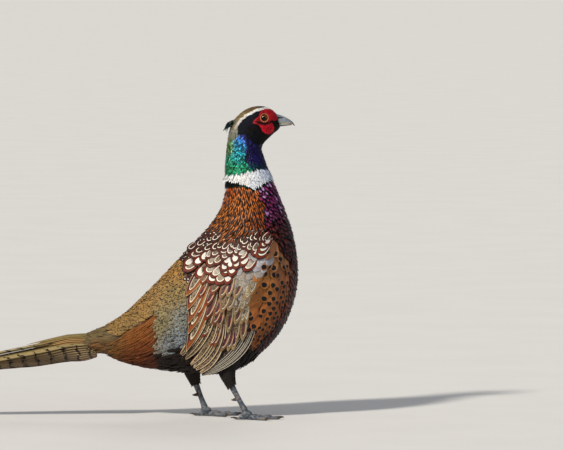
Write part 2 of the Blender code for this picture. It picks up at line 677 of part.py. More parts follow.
def toe(ball_point, heading, length, radius):
    """A toe from inside the foot's ball: a tapering loft, flat along the floor, with joint pads."""
    share = np.linspace(0, 1, 7)
    way = np.array([math.cos(heading), math.sin(heading), 0])
    side = np.array([-way[1], way[0], 0])
    turns = np.linspace(0, 2 * math.pi, 8, endpoint=False)
    rings = []
    for s in share:
        pad = 1 + 0.1 * math.cos(s * 6 * math.pi)
        size = radius * (1 - 0.45 * s) * pad
        height = np.maximum(size * 0.95 * (1 + np.sin(turns)), 0)
        lowest = np.where(np.sin(turns) < -0.5, 0.0, height)
        rings.append(
            np.array([ball_point[0], ball_point[1], 0]) + way * (length * s)
            + np.outer(size * np.cos(turns), side) + np.outer(lowest, (0, 0, 1))
        )
    return rings, way


def foot_node(name, leg, finish):
    """The ball of the foot with its toes, up to the shank."""
    _, foot, down = leg_way(leg)
    pieces = [ball("ball", foot - (0, 0, 1.0), FOOT_BALL_RADII, None, 10, 6)]
    stub = np.array([foot - down * (TARSUS_END_FROM_BALL - GAP), foot - down * 3, foot])
    pieces.append(mesh_object("stub", *loft(tube(stub, (4.7, 5.0, 5.0), 8, 0.85))))
    for angle, length, radius in (*FRONT_TOES, HIND_TOE):
        rings, _ = toe(foot, math.radians(leg["side"] * angle), length, radius)
        pieces.append(mesh_object("toe", *loft(rings)))
    return fused(name, pieces, finish)


def claw_node(name, leg, angle, length, radius, finish):
    """A claw that carries on from a toe's end and curves down to the floor."""
    _, foot, _ = leg_way(leg)
    rings, way = toe(foot, math.radians(leg["side"] * angle), length, radius)
    root = rings[-1].mean(0) + way * GAP
    share = np.linspace(0, 1, 6)[:, None]
    path = root + way * (CLAW_LENGTH * share) + np.array([0, 0, 1.0]) * (1.6 * np.sin(share * 2.4) - 0.4)
    radii = radius * 0.5 * (1 - share[:, 0]) ** 0.7 + 0.35
    path[:, 2] = np.maximum(path[:, 2], radii * 0.6)
    path[0] = root
    made = tube(path, radii, 8, 0.75)
    made[0] = made[0] - way * np.dot(made[0] - root, way)[:, None]
    made[..., 2] = np.maximum(made[..., 2], 0)
    return mesh_object(name, *loft(made), finish)


def spur_node(name, leg, finish):
    """The spur on the back and inner side of the shank."""
    _, foot, down = leg_way(leg)
    on_shank = foot - down * SPUR_ABOVE_BALL
    back = np.cross(down, (0, 1.0, 0))
    back = back if back[0] < 0 else -back
    way = back + np.array([0, -0.45 * leg["side"], 0.15])
    way /= np.linalg.norm(way)
    share = np.linspace(0, 1, len(SPUR_RADII))[:, None]
    path = on_shank + way * (SPUR_START + SPUR_LENGTH * share) + np.array([0, 0, 1.2]) * share ** 2
    return mesh_object(name, *loft(tube(path, SPUR_RADII, 8)), finish)


def eye_node(name, side, finish):
    """An eyeball in its socket."""
    return ball(name, (EYE_CENTRE[0], side * EYE_CENTRE[1], EYE_CENTRE[2]), (EYE_RADIUS,) * 3, finish)


def stand_on_origin():
    """Moves every object so that the floor's centre under the whole bird's box is the origin."""
    made = [o for o in bpy.data.objects if o.type == "MESH"]
    spots = np.array([(o.matrix_world @ v.co)[:] for o in made for v in o.data.vertices])
    middle = (spots.min(0) + spots.max(0)) / 2
    for o in made:
        o.data.transform(Matrix.Translation((-middle[0], 0, 0)))


def main():
    for old in list(bpy.data.objects):
        bpy.data.objects.remove(old)
    copper = material("copper_feathers", (0.42, 0.15, 0.05), 0.6)
    green = material("green_feathers", (0.02, 0.14, 0.12), 0.4)
    dark = material("dark_feathers", (0.03, 0.03, 0.06), 0.5)
    buff = material("buff_feathers", (0.45, 0.33, 0.2), 0.7)
    tail_buff = material("barred_feathers", (0.36, 0.27, 0.15), 0.7)
    brown = material("brown_feathers", (0.06, 0.035, 0.025), 0.8)
    red = material("wattle_skin", (0.55, 0.02, 0.03), 0.5)
    horn = material("pale_horn", (0.45, 0.44, 0.4), 0.4)
    scale = material("leg_scales", (0.22, 0.22, 0.22), 0.5)
    claw = material("dark_claw", (0.08, 0.07, 0.06), 0.4)
    iris = material("eye", (0.12, 0.05, 0.01), 0.1)

    body_part("torso", 0, NECK_AT, TORSO_RINGS, copper)
    body_part("neck", NECK_AT, HEAD_AT, 9, green, open_start=True)
    head_node(dark)
    nostrils = [
        ball("nostril", np.array(NOSTRIL) * (1, side, 1), NOSTRIL_SIZE, None, 10, 6) for side in (-1, 1)
    ]
    upper = bill_part("bill_upper", np.array(UPPER_BILL_RINGS) + (GAP, 0, GAP, 0, 0), horn, 1)
    cut(upper, nostrils)
    bill_part("bill_lower", np.array(LOWER_BILL_RINGS) + (GAP, 0, GAP, 0, 0), horn, -1)
    tail_node(tail_buff)
    for word, leg in (("left", LEFT_LEG), ("right", RIGHT_LEG)):
        side = leg["side"]
        eye_node("eye_" + word, side, iris)
        wattle_node("wattle_" + word, side, red)
        wing_node("wing_" + word, side, buff)
        thigh_node("thigh_" + word, leg, brown)
        tarsus_node("tarsus_" + word, leg, scale)
        foot_node("foot_" + word, leg, scale)
        spur_node("spur_" + word, leg, claw)
        for number, (angle, length, radius) in enumerate((*FRONT_TOES, HIND_TOE), 1):
            claw_node(f"claw_{word}_{number}", leg, angle, length, radius, claw)
    stand_on_origin()


main()
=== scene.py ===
import math

import bpy
import numpy as np
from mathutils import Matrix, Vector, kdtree


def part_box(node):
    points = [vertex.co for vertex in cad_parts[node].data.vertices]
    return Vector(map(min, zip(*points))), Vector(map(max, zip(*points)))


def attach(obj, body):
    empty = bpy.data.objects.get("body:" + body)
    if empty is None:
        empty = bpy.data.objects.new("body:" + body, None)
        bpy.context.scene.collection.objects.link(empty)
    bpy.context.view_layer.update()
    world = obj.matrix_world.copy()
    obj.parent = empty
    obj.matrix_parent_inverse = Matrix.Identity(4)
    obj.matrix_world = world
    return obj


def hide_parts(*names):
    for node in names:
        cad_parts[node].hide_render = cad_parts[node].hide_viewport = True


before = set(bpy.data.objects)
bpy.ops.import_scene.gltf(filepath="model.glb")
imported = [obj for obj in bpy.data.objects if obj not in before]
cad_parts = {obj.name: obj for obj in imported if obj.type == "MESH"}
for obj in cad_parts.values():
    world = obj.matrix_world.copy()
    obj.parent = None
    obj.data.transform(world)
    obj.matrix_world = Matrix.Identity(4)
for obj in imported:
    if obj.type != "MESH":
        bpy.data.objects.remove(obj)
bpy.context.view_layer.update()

# The studio: a camera square to the bird's right side, eight metres off and three degrees above
# level, as a long lens sees it, with a warm key light high on the left and a cool fill on the right.
CAMERA_DISTANCE = 8.0
CAMERA_RISE = math.radians(3)
VIEW_MIDDLE = (0.3639, 0.0, 0.2895)
PHOTO_PIXELS, PIXEL_SIZE = 563, 0.0015
VIEW_WIDTH = PHOTO_PIXELS * PIXEL_SIZE
SENSOR_WIDTH = 36.0


def aimed(made, spot, target):
    """Puts a light or camera at a spot and turns its -Z axis to the target, with Y upwards."""
    away = np.array(spot, float) - np.array(target, float)
    made.location = spot
    made.rotation_euler = (
        math.atan2(math.hypot(away[0], away[1]), away[2]), 0, math.atan2(away[0], -away[1])
    )
    bpy.context.scene.collection.objects.link(made)
    return made


lens = bpy.data.cameras.new("long_lens")
lens.sensor_width = SENSOR_WIDTH
lens.lens = SENSOR_WIDTH * CAMERA_DISTANCE / VIEW_WIDTH
lens.clip_start, lens.clip_end = 0.1, 400.0
camera_spot = (
    VIEW_MIDDLE[0], -CAMERA_DISTANCE * math.cos(CAMERA_RISE),
    VIEW_MIDDLE[2] + CAMERA_DISTANCE * math.sin(CAMERA_RISE),
)
camera = aimed(bpy.data.objects.new("long_lens", lens), camera_spot, VIEW_MIDDLE)
bpy.context.scene.camera = camera

for name, spot, spread, strength, colour in (
    ("key_light", (-2.4, -3.2, 3.4), 6, 3.6, (1.0, 0.94, 0.84)),
    ("fill_light", (3.0, -2.6, 1.4), 40, 0.35, (0.78, 0.87, 1.0)),
    ("rim_light", (1.0, 3.0, 2.6), 30, 0.5, (1.0, 0.97, 0.92)),
):
    sun = bpy.data.lights.new(name, "SUN")
    sun.angle, sun.energy, sun.color = math.radians(spread), strength, colour
    aimed(bpy.data.objects.new(name, sun), spot, (0.25, 0.0, 0.22))

world = bpy.data.worlds.new("studio_air")
world.use_nodes = True
world.node_tree.nodes["Background"].inputs["Color"].default_value = (0.86, 0.9, 1.0, 1)
world.node_tree.nodes["Background"].inputs["Strength"].default_value = 0.32
bpy.context.scene.world = world
bpy.context.scene.view_settings.view_transform = "Standard"
bpy.context.scene.view_settings.look = "None"


# The studio floor: a plain pale sheet far wider than the view, with a faint mottle.
FLOOR_HALF, FLOOR_LEVEL = 150.0, -0.0002


def dye(code):
    """A hex colour in linear light: (s / 12.92) low down, else ((s + 0.055) / 1.055) ** 2.4."""
    s = np.array([int(code[i:i + 2], 16) for i in (0, 2, 4)]) / 255
    return np.where(s < 0.04045, s / 12.92, ((s + 0.055) / 1.055) ** 2.4)


def put(tree, kind, *given, **settings):
    """Adds a shader node: settings are its properties, given its inputs in order, None to skip."""
    made = tree.nodes.new("ShaderNode" + kind)
    for key, value in settings.items():
        setattr(made, key, value)
    for socket, value in zip(made.inputs, given):
        if isinstance(value, bpy.types.NodeSocket):
            tree.links.new(value, socket)
        elif value is not None:
            socket.default_value = value
    return made


def maths(tree, operation, *given):
    """One step of arithmetic."""
    return put(tree, "Math", *given, operation=operation).outputs[0]


def eased(tree, value, low, high, at_low=0.0, at_high=1.0):
    """A smooth step from at_low to at_high as value goes from low to high."""
    return put(
        tree, "MapRange", value, low, high, at_low, at_high, interpolation_type="SMOOTHSTEP"
    ).outputs[0]


def mixed(tree, share, first, second, how="MIX"):
    """Two colours mixed: first where share is 0, second where it is 1."""
    made = put(tree, "Mix", data_type="RGBA", blend_type=how)
    for socket, value in ((made.inputs[0], share), (made.inputs[6], first), (made.inputs[7], second)):
        if isinstance(value, bpy.types.NodeSocket):
            tree.links.new(value, socket)
        elif np.ndim(value):
            socket.default_value = (*value, 1)
        else:
            socket.default_value = value
    return made.outputs[2]


def own_place(tree):
    """The point being painted, in the object's own metres."""
    return put(tree, "TexCoord").outputs["Object"]


def own_tint(tree):
    """The colour that the mesh carries at the point being painted."""
    return put(tree, "Attribute", attribute_name="tint").outputs["Color"]


def shaded(tree, colour, light):
    """A colour times a lightness."""
    grey = put(tree, "CombineColor", light, light, light).outputs[0]
    return mixed(tree, 1.0, colour, grey, "MULTIPLY")


def finish(name, paint, roughness=0.6, bump=0.3, depth=0.0004, **sockets):
    """A material: paint(tree) gives its colour and height sockets, with further sockets by name."""
    made = bpy.data.materials.new(name)
    made.use_nodes = True
    tree = made.node_tree
    shader = tree.nodes["Principled BSDF"]
    painted = paint(tree)
    tree.links.new(painted.pop("colour"), shader.inputs["Base Color"])
    shader.inputs["Roughness"].default_value = roughness
    if "height" in painted:
        relief = put(tree, "Bump", bump, depth, None, painted.pop("height"))
        tree.links.new(relief.outputs[0], shader.inputs["Normal"])
    for socket, value in painted.items():
        tree.links.new(value, shader.inputs[socket])
    for socket, value in {"Specular_IOR_Level": 0.25, **sockets}.items():
        shader.inputs[socket.replace("_", " ")].default_value = value
    return made


def paint_floor(tree):
    """A pale grey with a slow mottle."""
    place = own_place(tree)
    mottle = put(tree, "TexNoise", place, None, 6.0, 4.0).outputs[0]
    return {"colour": mixed(tree, mottle, (0.62, 0.61, 0.59), (0.68, 0.67, 0.65)), "height": mottle}


floor_mesh = bpy.data.meshes.new("floor")
corners = [(x * FLOOR_HALF, y * FLOOR_HALF, FLOOR_LEVEL) for x, y in ((-1, -1), (1, -1), (1, 1), (-1, 1))]
floor_mesh.from_pydata(corners, [], [(0, 1, 2, 3)])
floor_mesh.materials.append(finish("pale_floor", paint_floor, 0.85, 0.1))
floor = bpy.data.objects.new("floor", floor_mesh)
bpy.context.scene.collection.objects.link(floor)


# The skin: one sheet over torso, neck, head and thighs, with the tail's root at its back end. It
# lies under the coat by the feathers' depth. All sizes of the bird are in millimetres from a point
# under its breast, x the way it faces, y to its left, z up.
BILL_TIP_X = 94.27
SHIFT = np.array([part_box("bill_upper")[1].x * 1000 - BILL_TIP_X, 0.0, 0.0])
BODY_RINGS = (  # back x, z; belly x, z; half width
    (-245, 109.2, -243.3, 102.2, 3.8), (-229.3, 119.7, -224.5, 98.7, 11.4),
    (-215.3, 127.7, -208.3, 96.9, 16.7), (-205, 132, -197, 97, 19), (-168, 152, -160, 84, 29),
    (-143, 174, -112, 73, 40), (-110, 207, -58, 67, 51), (-76, 243, 2, 70, 60),
    (-49, 272, 50, 103, 66), (-28, 296, 83, 148, 68), (-16, 318, 98, 203, 65),
    (-11.5, 336, 96, 254, 56), (-10.5, 350, 84, 300, 44), (-10.5, 363, 68, 341, 33),
    (-10.5, 377, 55.5, 371, 28), (-8.8, 395, 47.5, 393, 24), (-5.8, 421, 44.5, 405, 21),
    (-0.8, 440.5, 48, 412.5, 20), (10, 454.4, 56, 421, 19.5), (23.3, 463.8, 63, 427.5, 18.8),
    (37.5, 467.6, 68, 431.5, 17), (52, 466, 71, 434.5, 13.5), (61.5, 461, 72.3, 436.5, 9.5),
    (67.3, 456.2, 72.4, 437, 6.6),
)
RINGS = np.array(BODY_RINGS, float)
MIDDLES = (RINGS[:, 0:2] + RINGS[:, 2:4]) / 2
ALONG = np.concatenate([[0], np.cumsum(np.linalg.norm(np.diff(MIDDLES, axis=0), axis=1))])
ALONG -= ALONG[3]
TAIL_AT, NECK_AT, HEAD_AT, BODY_END = ALONG[0], ALONG[13], ALONG[16], ALONG[-1]


def smooth_through(stations, values, wanted):
    """A curve through values at stations: cubic Hermite pieces whose slope at a station is the
    mean of the two chords beside it, each weighted by the other's length."""
    stations, values = np.asarray(stations, float), np.asarray(values, float)
    steps = np.diff(stations)
    chords = np.diff(values, axis=0) / steps[:, None]
    slopes = np.empty_like(values)
    slopes[0], slopes[-1] = chords[0], chords[-1]
    before, after = steps[:-1, None], steps[1:, None]
    slopes[1:-1] = (chords[:-1] * after + chords[1:] * before) / (before + after)
    wanted = np.clip(np.asarray(wanted, float), stations[0], stations[-1])
    index = np.clip(np.searchsorted(stations, wanted, side="right") - 1, 0, len(steps) - 1)
    width = steps[index][..., None]
    t = ((wanted - stations[index]) / steps[index])[..., None]
    return (
        values[index] * (1 + 2 * t) * (1 - t) ** 2 + slopes[index] * width * t * (1 - t) ** 2
        + values[index + 1] * t * t * (3 - 2 * t) + slopes[index + 1] * width * t * t * (t - 1)
    )


def on_rings(along, turn):
    """Body points: the middle of the ring there, plus its up way by cos(turn), out by sin(turn)."""
    ring = smooth_through(ALONG, RINGS, along)
    top, bottom, half = ring[..., 0:2], ring[..., 2:4], ring[..., 4]
    spot = (top + bottom) / 2 + (top - bottom) / 2 * np.cos(turn)[..., None]
    return np.stack([spot[..., 0], half * np.sin(turn), spot[..., 1]], -1)


def on_body(along, turn):
    """(point, unit outward normal, slope by along, slope by turn) of the coat's outer face. Past
    either end of the body the point runs straight on."""
    along, turn = np.broadcast_arrays(np.asarray(along, float), np.asarray(turn, float))
    inside = np.clip(along, TAIL_AT + 0.5, BODY_END - 0.5)
    by_along = on_rings(inside + 0.5, turn) - on_rings(inside - 0.5, turn)
    by_turn = (on_rings(inside, turn + 0.01) - on_rings(inside, turn - 0.01)) / 0.02
    normal = np.cross(by_along, by_turn)
    normal /= np.linalg.norm(normal, axis=-1, keepdims=True) + 1e-9
    return on_rings(inside, turn) + (along - inside)[..., None] * by_along, normal, by_along, by_turn


def coat_depth(along):
    """How deep the skin lies under the coat's outer face."""
    stops = (TAIL_AT, 0, NECK_AT - 40, NECK_AT + 20, HEAD_AT, HEAD_AT + 20, BODY_END)
    return np.interp(along, stops, (1.5, 3.5, 4.0, 2.6, 1.6, 1.1, 0.3))


def grid_faces(rows, cols, closed=False):
    """Quads of a grid, seen from outside where rows cross columns outwards; closed joins the last
    column to the first."""
    r, c = np.meshgrid(np.arange(rows - 1), np.arange(cols if closed else cols - 1), indexing="ij")
    a, b = r * cols + c, r * cols + (c + 1) % cols
    return np.stack([a, a + cols, b + cols, b], -1).reshape(-1, 4)


def new_mesh(name, points, faces, material):
    """A mesh object from points in millimetres and quads; a quad may repeat a corner."""
    mesh = bpy.data.meshes.new(name)
    spots = (np.asarray(points, float).reshape(-1, 3) + SHIFT) / 1000
    faces = np.asarray(faces)
    if faces.ndim == 2 and np.any(faces[:, 0] == faces[:, 3]):
        mesh.from_pydata(spots, [], [f[:3] if f[0] == f[3] else f for f in faces.tolist()])
    else:
        mesh.vertices.add(len(spots))
        mesh.vertices.foreach_set("co", spots.ravel())
        mesh.loops.add(faces.size)
        mesh.loops.foreach_set("vertex_index", faces.ravel())
        mesh.polygons.add(len(faces))
        mesh.polygons.foreach_set("loop_start", np.arange(len(faces)) * faces.shape[1])
        mesh.update(calc_edges=True)
    mesh.polygons.foreach_set("use_smooth", np.ones(len(mesh.polygons), bool))
    if material:
        mesh.materials.append(material)
    made = bpy.data.objects.new(name, mesh)
    bpy.context.scene.collection.objects.link(made)
    return made


def capped(rings, flip=False):
    """Points and faces of a closed tube of rings, its ends closed by fans on their middles."""
    rings = np.asarray(rings, float)
    rows, cols = rings.shape[:2]
    points = np.concatenate([rings.reshape(-1, 3), rings[[0, -1]].mean(1)])
    ring = np.arange(cols)
    after = (ring + 1) % cols
    first = np.stack([np.full(cols, rows * cols), ring, after, np.full(cols, rows * cols)], -1)
    top = (rows - 1) * cols
    last = np.stack([np.full(cols, rows * cols + 1), top + after, top + ring,
                     np.full(cols, rows * cols + 1)], -1)
    faces = np.concatenate([grid_faces(rows, cols, True), first, last])
    return points, faces[:, ::-1] if flip else faces


def place_in_side_view(x, z, first, last):
    """(along, c) of side-view points: the ring whose back-to-belly line holds each, among 300
    tries, and how far up that line it lies, 1 at the back to -1 at the belly."""
    x, z = np.asarray(x, float), np.asarray(z, float)
    tries = np.linspace(first, last, 300)
    ring = smooth_through(ALONG, RINGS, tries)
    up = ring[:, 0:2] - ring[:, 2:4]
    beside = up[:, 0] * (z[..., None] - ring[:, 3]) - up[:, 1] * (x[..., None] - ring[:, 2])
    index = np.clip(np.sum(beside < 0, axis=-1), 1, len(tries) - 1)
    b0 = np.take_along_axis(beside, (index - 1)[..., None], -1)[..., 0]
    b1 = np.take_along_axis(beside, index[..., None], -1)[..., 0]
    share = np.clip(b0 / np.where(np.abs(b0 - b1) < 1e-9, 1e-9, b0 - b1), 0, 1)
    along = tries[index - 1] + share * (tries[1] - tries[0])
    ring = smooth_through(ALONG, RINGS, along)
    up = ring[..., 0:2] - ring[..., 2:4]
    reach = (x - ring[..., 2]) * up[..., 0] + (z - ring[..., 3]) * up[..., 1]
    return along, 2 * reach / np.sum(up * up, axis=-1) - 1


# The lie of the plumage: which kind of feather grows where, with edges as lines in side view, and
# the ground colour of each kind from place to place. The skin under the coat carries it too.
KINDS = (
    "crown", "stripe", "face", "ear", "nape", "gloss", "throat", "collar", "band", "mantle",
    "breast", "flank", "belly", "saddle", "rump", "fringe", "train",
)
KIND = {name: number for number, name in enumerate(KINDS)}
STRIPE_PATH = ((4.5, 432), (7.4, 439.5), (11.4, 445.6), (18.8, 452), (28.2, 457.9), (39, 463.2), (51, 466))
STRIPE_HALF, BROW_FRONT = 1.9, 51
EAR_PLACE, EAR_SIZE = (27, 433), (5.0, 4.0)
TRAIN_END, BELLY_SIDE, BREAST_SIDE = 14, -0.55, -0.86
HEAD_EDGE = ((-12, -5, 5, 10, 15, 21, 28, 36, 62), (411, 411.5, 415, 423, 426, 423, 419, 411, 412))
COLLAR_TOP = ((-14, -9.5, 5.4, 21.5, 40, 55, 66), (368, 364.5, 365, 368.5, 371, 371, 371))
COLLAR_FOOT = ((-14, -3, 14.6, 23.7, 33, 42, 56, 66), (357.5, 357, 353, 348.5, 343.5, 346.5, 352, 356))
GLOSS_EDGE = ((372, 381, 390, 402, 411, 420, 428), (31, 21.5, 19.2, 21.5, 23.7, 15, 8))
BREAST_EDGE = ((120, 200, 235, 262, 277, 304, 335, 345), (99, 94, 84, 62, 46.5, 54, 41, 36))
RUMP_EDGE = ((60, 170, 200, 232, 262), (-62, -62, -68, -74, -92))


def near_path(x, z, path):
    """Distance from side-view points to a path of straight steps, and the side: + above it."""
    path = np.array(path, float)
    start, step = path[:-1], np.diff(path, axis=0)
    dx, dz = x[..., None] - start[:, 0], z[..., None] - start[:, 1]
    share = np.clip((dx * step[:, 0] + dz * step[:, 1]) / (step ** 2).sum(1), 0, 1)
    gap = np.hypot(dx - share * step[:, 0], dz - share * step[:, 1])
    nearest = gap.argmin(-1)[..., None]
    cross = step[:, 0] * dz - step[:, 1] * dx
    return gap.min(-1), np.sign(np.take_along_axis(cross, nearest, -1)[..., 0])


def kind_at(x, z, c, along):
    """Which feathers grow at a side-view point; c is 1 at the back and -1 at the belly there."""
    from_stripe, above = near_path(x, z, STRIPE_PATH)
    on_head = z > np.interp(x, *HEAD_EDGE)
    rules = (
        (on_head & (from_stripe < STRIPE_HALF) & (x < BROW_FRONT), "stripe"),
        (on_head & (above > 0) & (x < BROW_FRONT) & (z > 430), "crown"),
        (on_head & (x < 8.5) & (z < 440), "nape"),
        (np.hypot((x - EAR_PLACE[0]) / EAR_SIZE[0], (z - EAR_PLACE[1]) / EAR_SIZE[1]) < 1, "ear"),
        (on_head, "face"),
        ((z > np.interp(x, *COLLAR_TOP)) & (x < np.interp(z, *GLOSS_EDGE)), "gloss"),
        (z > np.interp(x, *COLLAR_TOP), "throat"),
        (z > np.interp(x, *COLLAR_FOOT), "collar"),
        (z > np.interp(x, *COLLAR_FOOT) - np.interp(x, (-10, 30, 60), (10, 3.5, 5)), "band"),
        (along < TRAIN_END, "train"),
        ((z < 100 - 0.1 * x) & (x > -92) & (c < -0.3), "belly"),
        ((x < -118) & (z < 158 + 0.55 * (x + 118)), "fringe"),
        ((x < np.interp(z, *RUMP_EDGE)) & (c < BELLY_SIDE), "belly"),
        (x < np.interp(z, *RUMP_EDGE), "rump"),
        ((c < BREAST_SIDE) | (x > np.interp(z, *BREAST_EDGE)), "breast"),
        ((z < 258 + 0.1 * x) & (x > -20), "flank"),
        ((z < 284) & (x < -18) & (c > 0.55), "saddle"),
        (z < 258, "rump"),
    )
    chosen = np.full(np.shape(x), KIND["mantle"])
    for rule, kind in reversed(rules):
        chosen = np.where(rule, KIND[kind], chosen)
    return chosen


GROUND = {  # colours by kind, each with a place (x, z) where it rules; places blend by distance
    "crown": (("84683C", 30, 462), ("9A8454", 14, 452), ("948A70", 2, 440), ("2A2214", 50, 468)),
    "stripe": (("EDEAE6", 34, 460), ("DCD8D0", 10, 444), ("B8AE9C", 4, 434)),
    "face": (("030306", 40, 436), ("040818", 20, 446), ("040714", 14, 436), ("020203", 60, 450)),
    "ear": (("0C0706", 28, 434),),
    "nape": (("9C988A", -2, 434), ("A6A698", 3, 426), ("7C8468", 2, 418), ("8A8F5A", 5, 413)),
    "gloss": (
        ("5646BE", 23, 418), ("3560C4", 17, 421), ("1F86C0", 14, 410), ("1793A8", 9, 398),
        ("148C86", 6, 386), ("1F8F5C", 0, 374), ("6C9A4C", -7, 404), ("2FA07C", -9, 384),
        ("178A62", 18, 373),
    ),
    "throat": (("130E36", 34, 400), ("1A1248", 36, 388), ("0A0920", 46, 412), ("0B3030", 34, 374),
               ("06060F", 23, 396)),
    # The collar's bluish white towards the front and lower down is painted shade.
    "collar": (("F0EFEE", 16, 358), ("CFD8EA", 58, 362), ("E0E4EA", 40, 352)),
    "band": (("08120F", 0, 352), ("0A1A17", 40, 338), ("14302C", 20, 344)),
    "mantle": (
        ("C04A18", -2, 343), ("DB7E2C", 12, 330), ("D67A28", 20, 315), ("C9742A", -10, 300),
        ("BC6A2C", 10, 285), ("A8501C", 42, 300), ("94421C", 46, 280), ("C86A34", 30, 335),
    ),
    "breast": (
        ("9A3C1E", 44, 322), ("B03C88", 50, 330), ("A03484", 58, 312), ("6A2234", 72, 300),
        ("7A341C", 56, 272), ("5A2620", 84, 270), ("6A2A1C", 96, 220), ("7A341C", 98, 170),
        ("4A1C14", 80, 110), ("6A1E5C", 66, 326),
    ),
    "flank": (
        ("A87650", 40, 240), ("B4702E", 34, 190), ("B87838", 40, 215), ("A0704A", 70, 240),
        ("8E5430", 84, 200), ("A8622A", 40, 150), ("7E4420", 76, 150), ("8A4C20", 52, 256),
        ("8A4E22", 30, 115),
    ),
    "belly": (("120C09", 20, 80), ("1C120C", -60, 70), ("180E0A", 40, 95)),
    "saddle": (("3E1A18", -60, 262), ("5A2A1C", -30, 285), ("4A281C", -85, 235)),
    "rump": (
        ("9A6E30", -100, 215), ("94703A", -120, 190), ("8A7444", -95, 185), ("767C78", -75, 150),
        ("6E7A84", -80, 120), ("946C32", -135, 165), ("7E7450", -110, 150), ("8C6A34", -160, 150),
    ),
    "fringe": (("9C5A1C", -150, 125), ("8A4616", -140, 100), ("5E2A10", -130, 80), ("8E602A", -185, 120)),
    "train": (("7A663E", -205, 130), ("6C5C3A", -225, 118), ("82582C", -210, 105)),
}
GROUND_REACH, SMALL_REACH = 14.0, 6.0


def ground_at(kind, x, z):
    """Ground colours: each kind's dyes weighed by 1 / (1 + (distance / reach) ** 4)."""
    colours = np.zeros(np.shape(x) + (3,))
    for name, places in GROUND.items():
        here = kind == KIND[name]
        total = np.zeros((here.sum(), 1))
        mix = np.zeros((here.sum(), 3))
        wide = name in ("mantle", "breast", "flank", "rump", "fringe")
        reach = GROUND_REACH if wide else SMALL_REACH
        for code, px, pz in places:
            weight = 1 / (1 + (np.hypot(x[here] - px, z[here] - pz) / reach) ** 4)
            mix += weight[:, None] * dye(code)
            total += weight[:, None]
        colours[here] = mix / total
    return colours


def set_dye(made, name, colours):
    """A colour at every point of a mesh, under a name that its material reads."""
    rgba = np.ones((len(made.data.vertices), 4))
    rgba[:, :3] = np.reshape(colours, (-1, 3))
    made.data.color_attributes.new(name, "FLOAT_COLOR", "POINT").data.foreach_set("color", rgba.ravel())


def paint_skin(tree):
    """The coat's ground colour in shade, with a stubble of dark roots."""
    place = own_place(tree)
    ground = own_tint(tree)
    roots = put(tree, "TexVoronoi", place, None, 420.0).outputs["Distance"]
    shade = eased(tree, roots, 0.1, 0.6, 0.35, 0.75)
    return {"colour": shaded(tree, ground, shade), "height": roots}


SKIN_SIDES, SKIN_STEP, SKIN_SHADE = 72, 2.5, 0.6
LEGS = (  # side, ankle x and z, ball of foot x, distance apart
    ("right", -1, (-10, 68), 22, 34), ("left", 1, (-62, 67), -40, 31),
)
BALL_HEIGHT = 8.5
HIP_APART, HIP_HEIGHT, HIP_AHEAD = 22, 112.0, 16
THIGH_BELOW_ANKLE, THIGH_BEND = 20, -9.0
THIGH_RADII = (20, 20, 19, 16.5, 13.5, 10, 7.2)
THIGH_DEPTH, THIGH_SQUASH = 2.2, 0.82


def leg_line(side, ankle, ball_x, apart):
    """The ankle, the ball of the foot and the unit way down between them."""
    top = np.array([ankle[0], side * apart, ankle[1]], float)
    foot = np.array([ball_x, side * apart, BALL_HEIGHT], float)
    return top, foot, (foot - top) / np.linalg.norm(foot - top)


def tube(centres, radii, sides=16, squash=1.0):
    """Rings round a path: at each centre a circle across the way on, squashed along Y."""
    centres, radii = np.asarray(centres, float), np.asarray(radii, float)[:, None, None]
    ways = np.gradient(centres, axis=0)
    ways /= np.linalg.norm(ways, axis=1, keepdims=True)
    steep = np.abs(ways[:, 2:]) >= 0.9
    across = np.cross(ways, np.where(steep, (1.0, 0, 0), (0, 0, 1.0)))
    across /= np.linalg.norm(across, axis=1, keepdims=True)
    over = np.cross(across, ways)
    turns = np.linspace(0, 2 * math.pi, sides, endpoint=False)[None, :, None]
    circle = squash * np.cos(turns) * across[:, None] + np.sin(turns) * over[:, None]
    return centres[:, None] + radii * circle


def thigh_path(side, ankle, ball_x, apart, share):
    """Centres and radii of the drumstick's coat: a bent line from the hip to below the ankle."""
    top, _, down = leg_line(side, ankle, ball_x, apart)
    end = top + down * THIGH_BELOW_ANKLE
    hip = np.array([top[0] + HIP_AHEAD, side * HIP_APART, HIP_HEIGHT])
    share = np.asarray(share, float)[:, None]
    centres = hip + (end - hip) * share + np.array([THIGH_BEND, 0, 0]) * np.sin(math.pi * share)
    radii = smooth_through(np.linspace(0, 1, len(THIGH_RADII)), np.array(THIGH_RADII)[:, None], share[:, 0])
    return centres, radii[:, 0]


skin_finish = finish("shaded_skin", paint_skin, 0.8)
skin_along = np.arange(TAIL_AT + 1, BODY_END - 0.2, SKIN_STEP)
skin_turn = np.linspace(0, 2 * math.pi, SKIN_SIDES, endpoint=False)
spot, normal, _, _ = on_body(skin_along[:, None], skin_turn[None, :])
skin = new_mesh("skin", *capped(spot - normal * coat_depth(skin_along)[:, None, None]), skin_finish)
for word, *leg in LEGS:
    centres, radii = thigh_path(*leg, np.linspace(-0.1, 1, 30))
    rings = tube(centres, radii - THIGH_DEPTH, 32, THIGH_SQUASH)
    thigh = new_mesh("thigh_core", *capped(rings), None)
    union = skin.modifiers.new("thigh", "BOOLEAN")
    union.operation, union.solver, union.object = "UNION", "EXACT", thigh
    with bpy.context.temp_override(object=skin, active_object=skin):
        bpy.ops.object.modifier_apply(modifier="thigh")
    bpy.data.objects.remove(thigh)
skin_x, _, skin_z = (np.array([v.co[:] for v in skin.data.vertices]) * 1000 - SHIFT).T
along, c = place_in_side_view(skin_x, skin_z, TAIL_AT, BODY_END)
set_dye(skin, "tint", ground_at(kind_at(skin_x, skin_z, c, along), skin_x, skin_z) * SKIN_SHADE)
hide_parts("torso", "neck", "head", "thigh_left", "thigh_right")
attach(skin, "root")


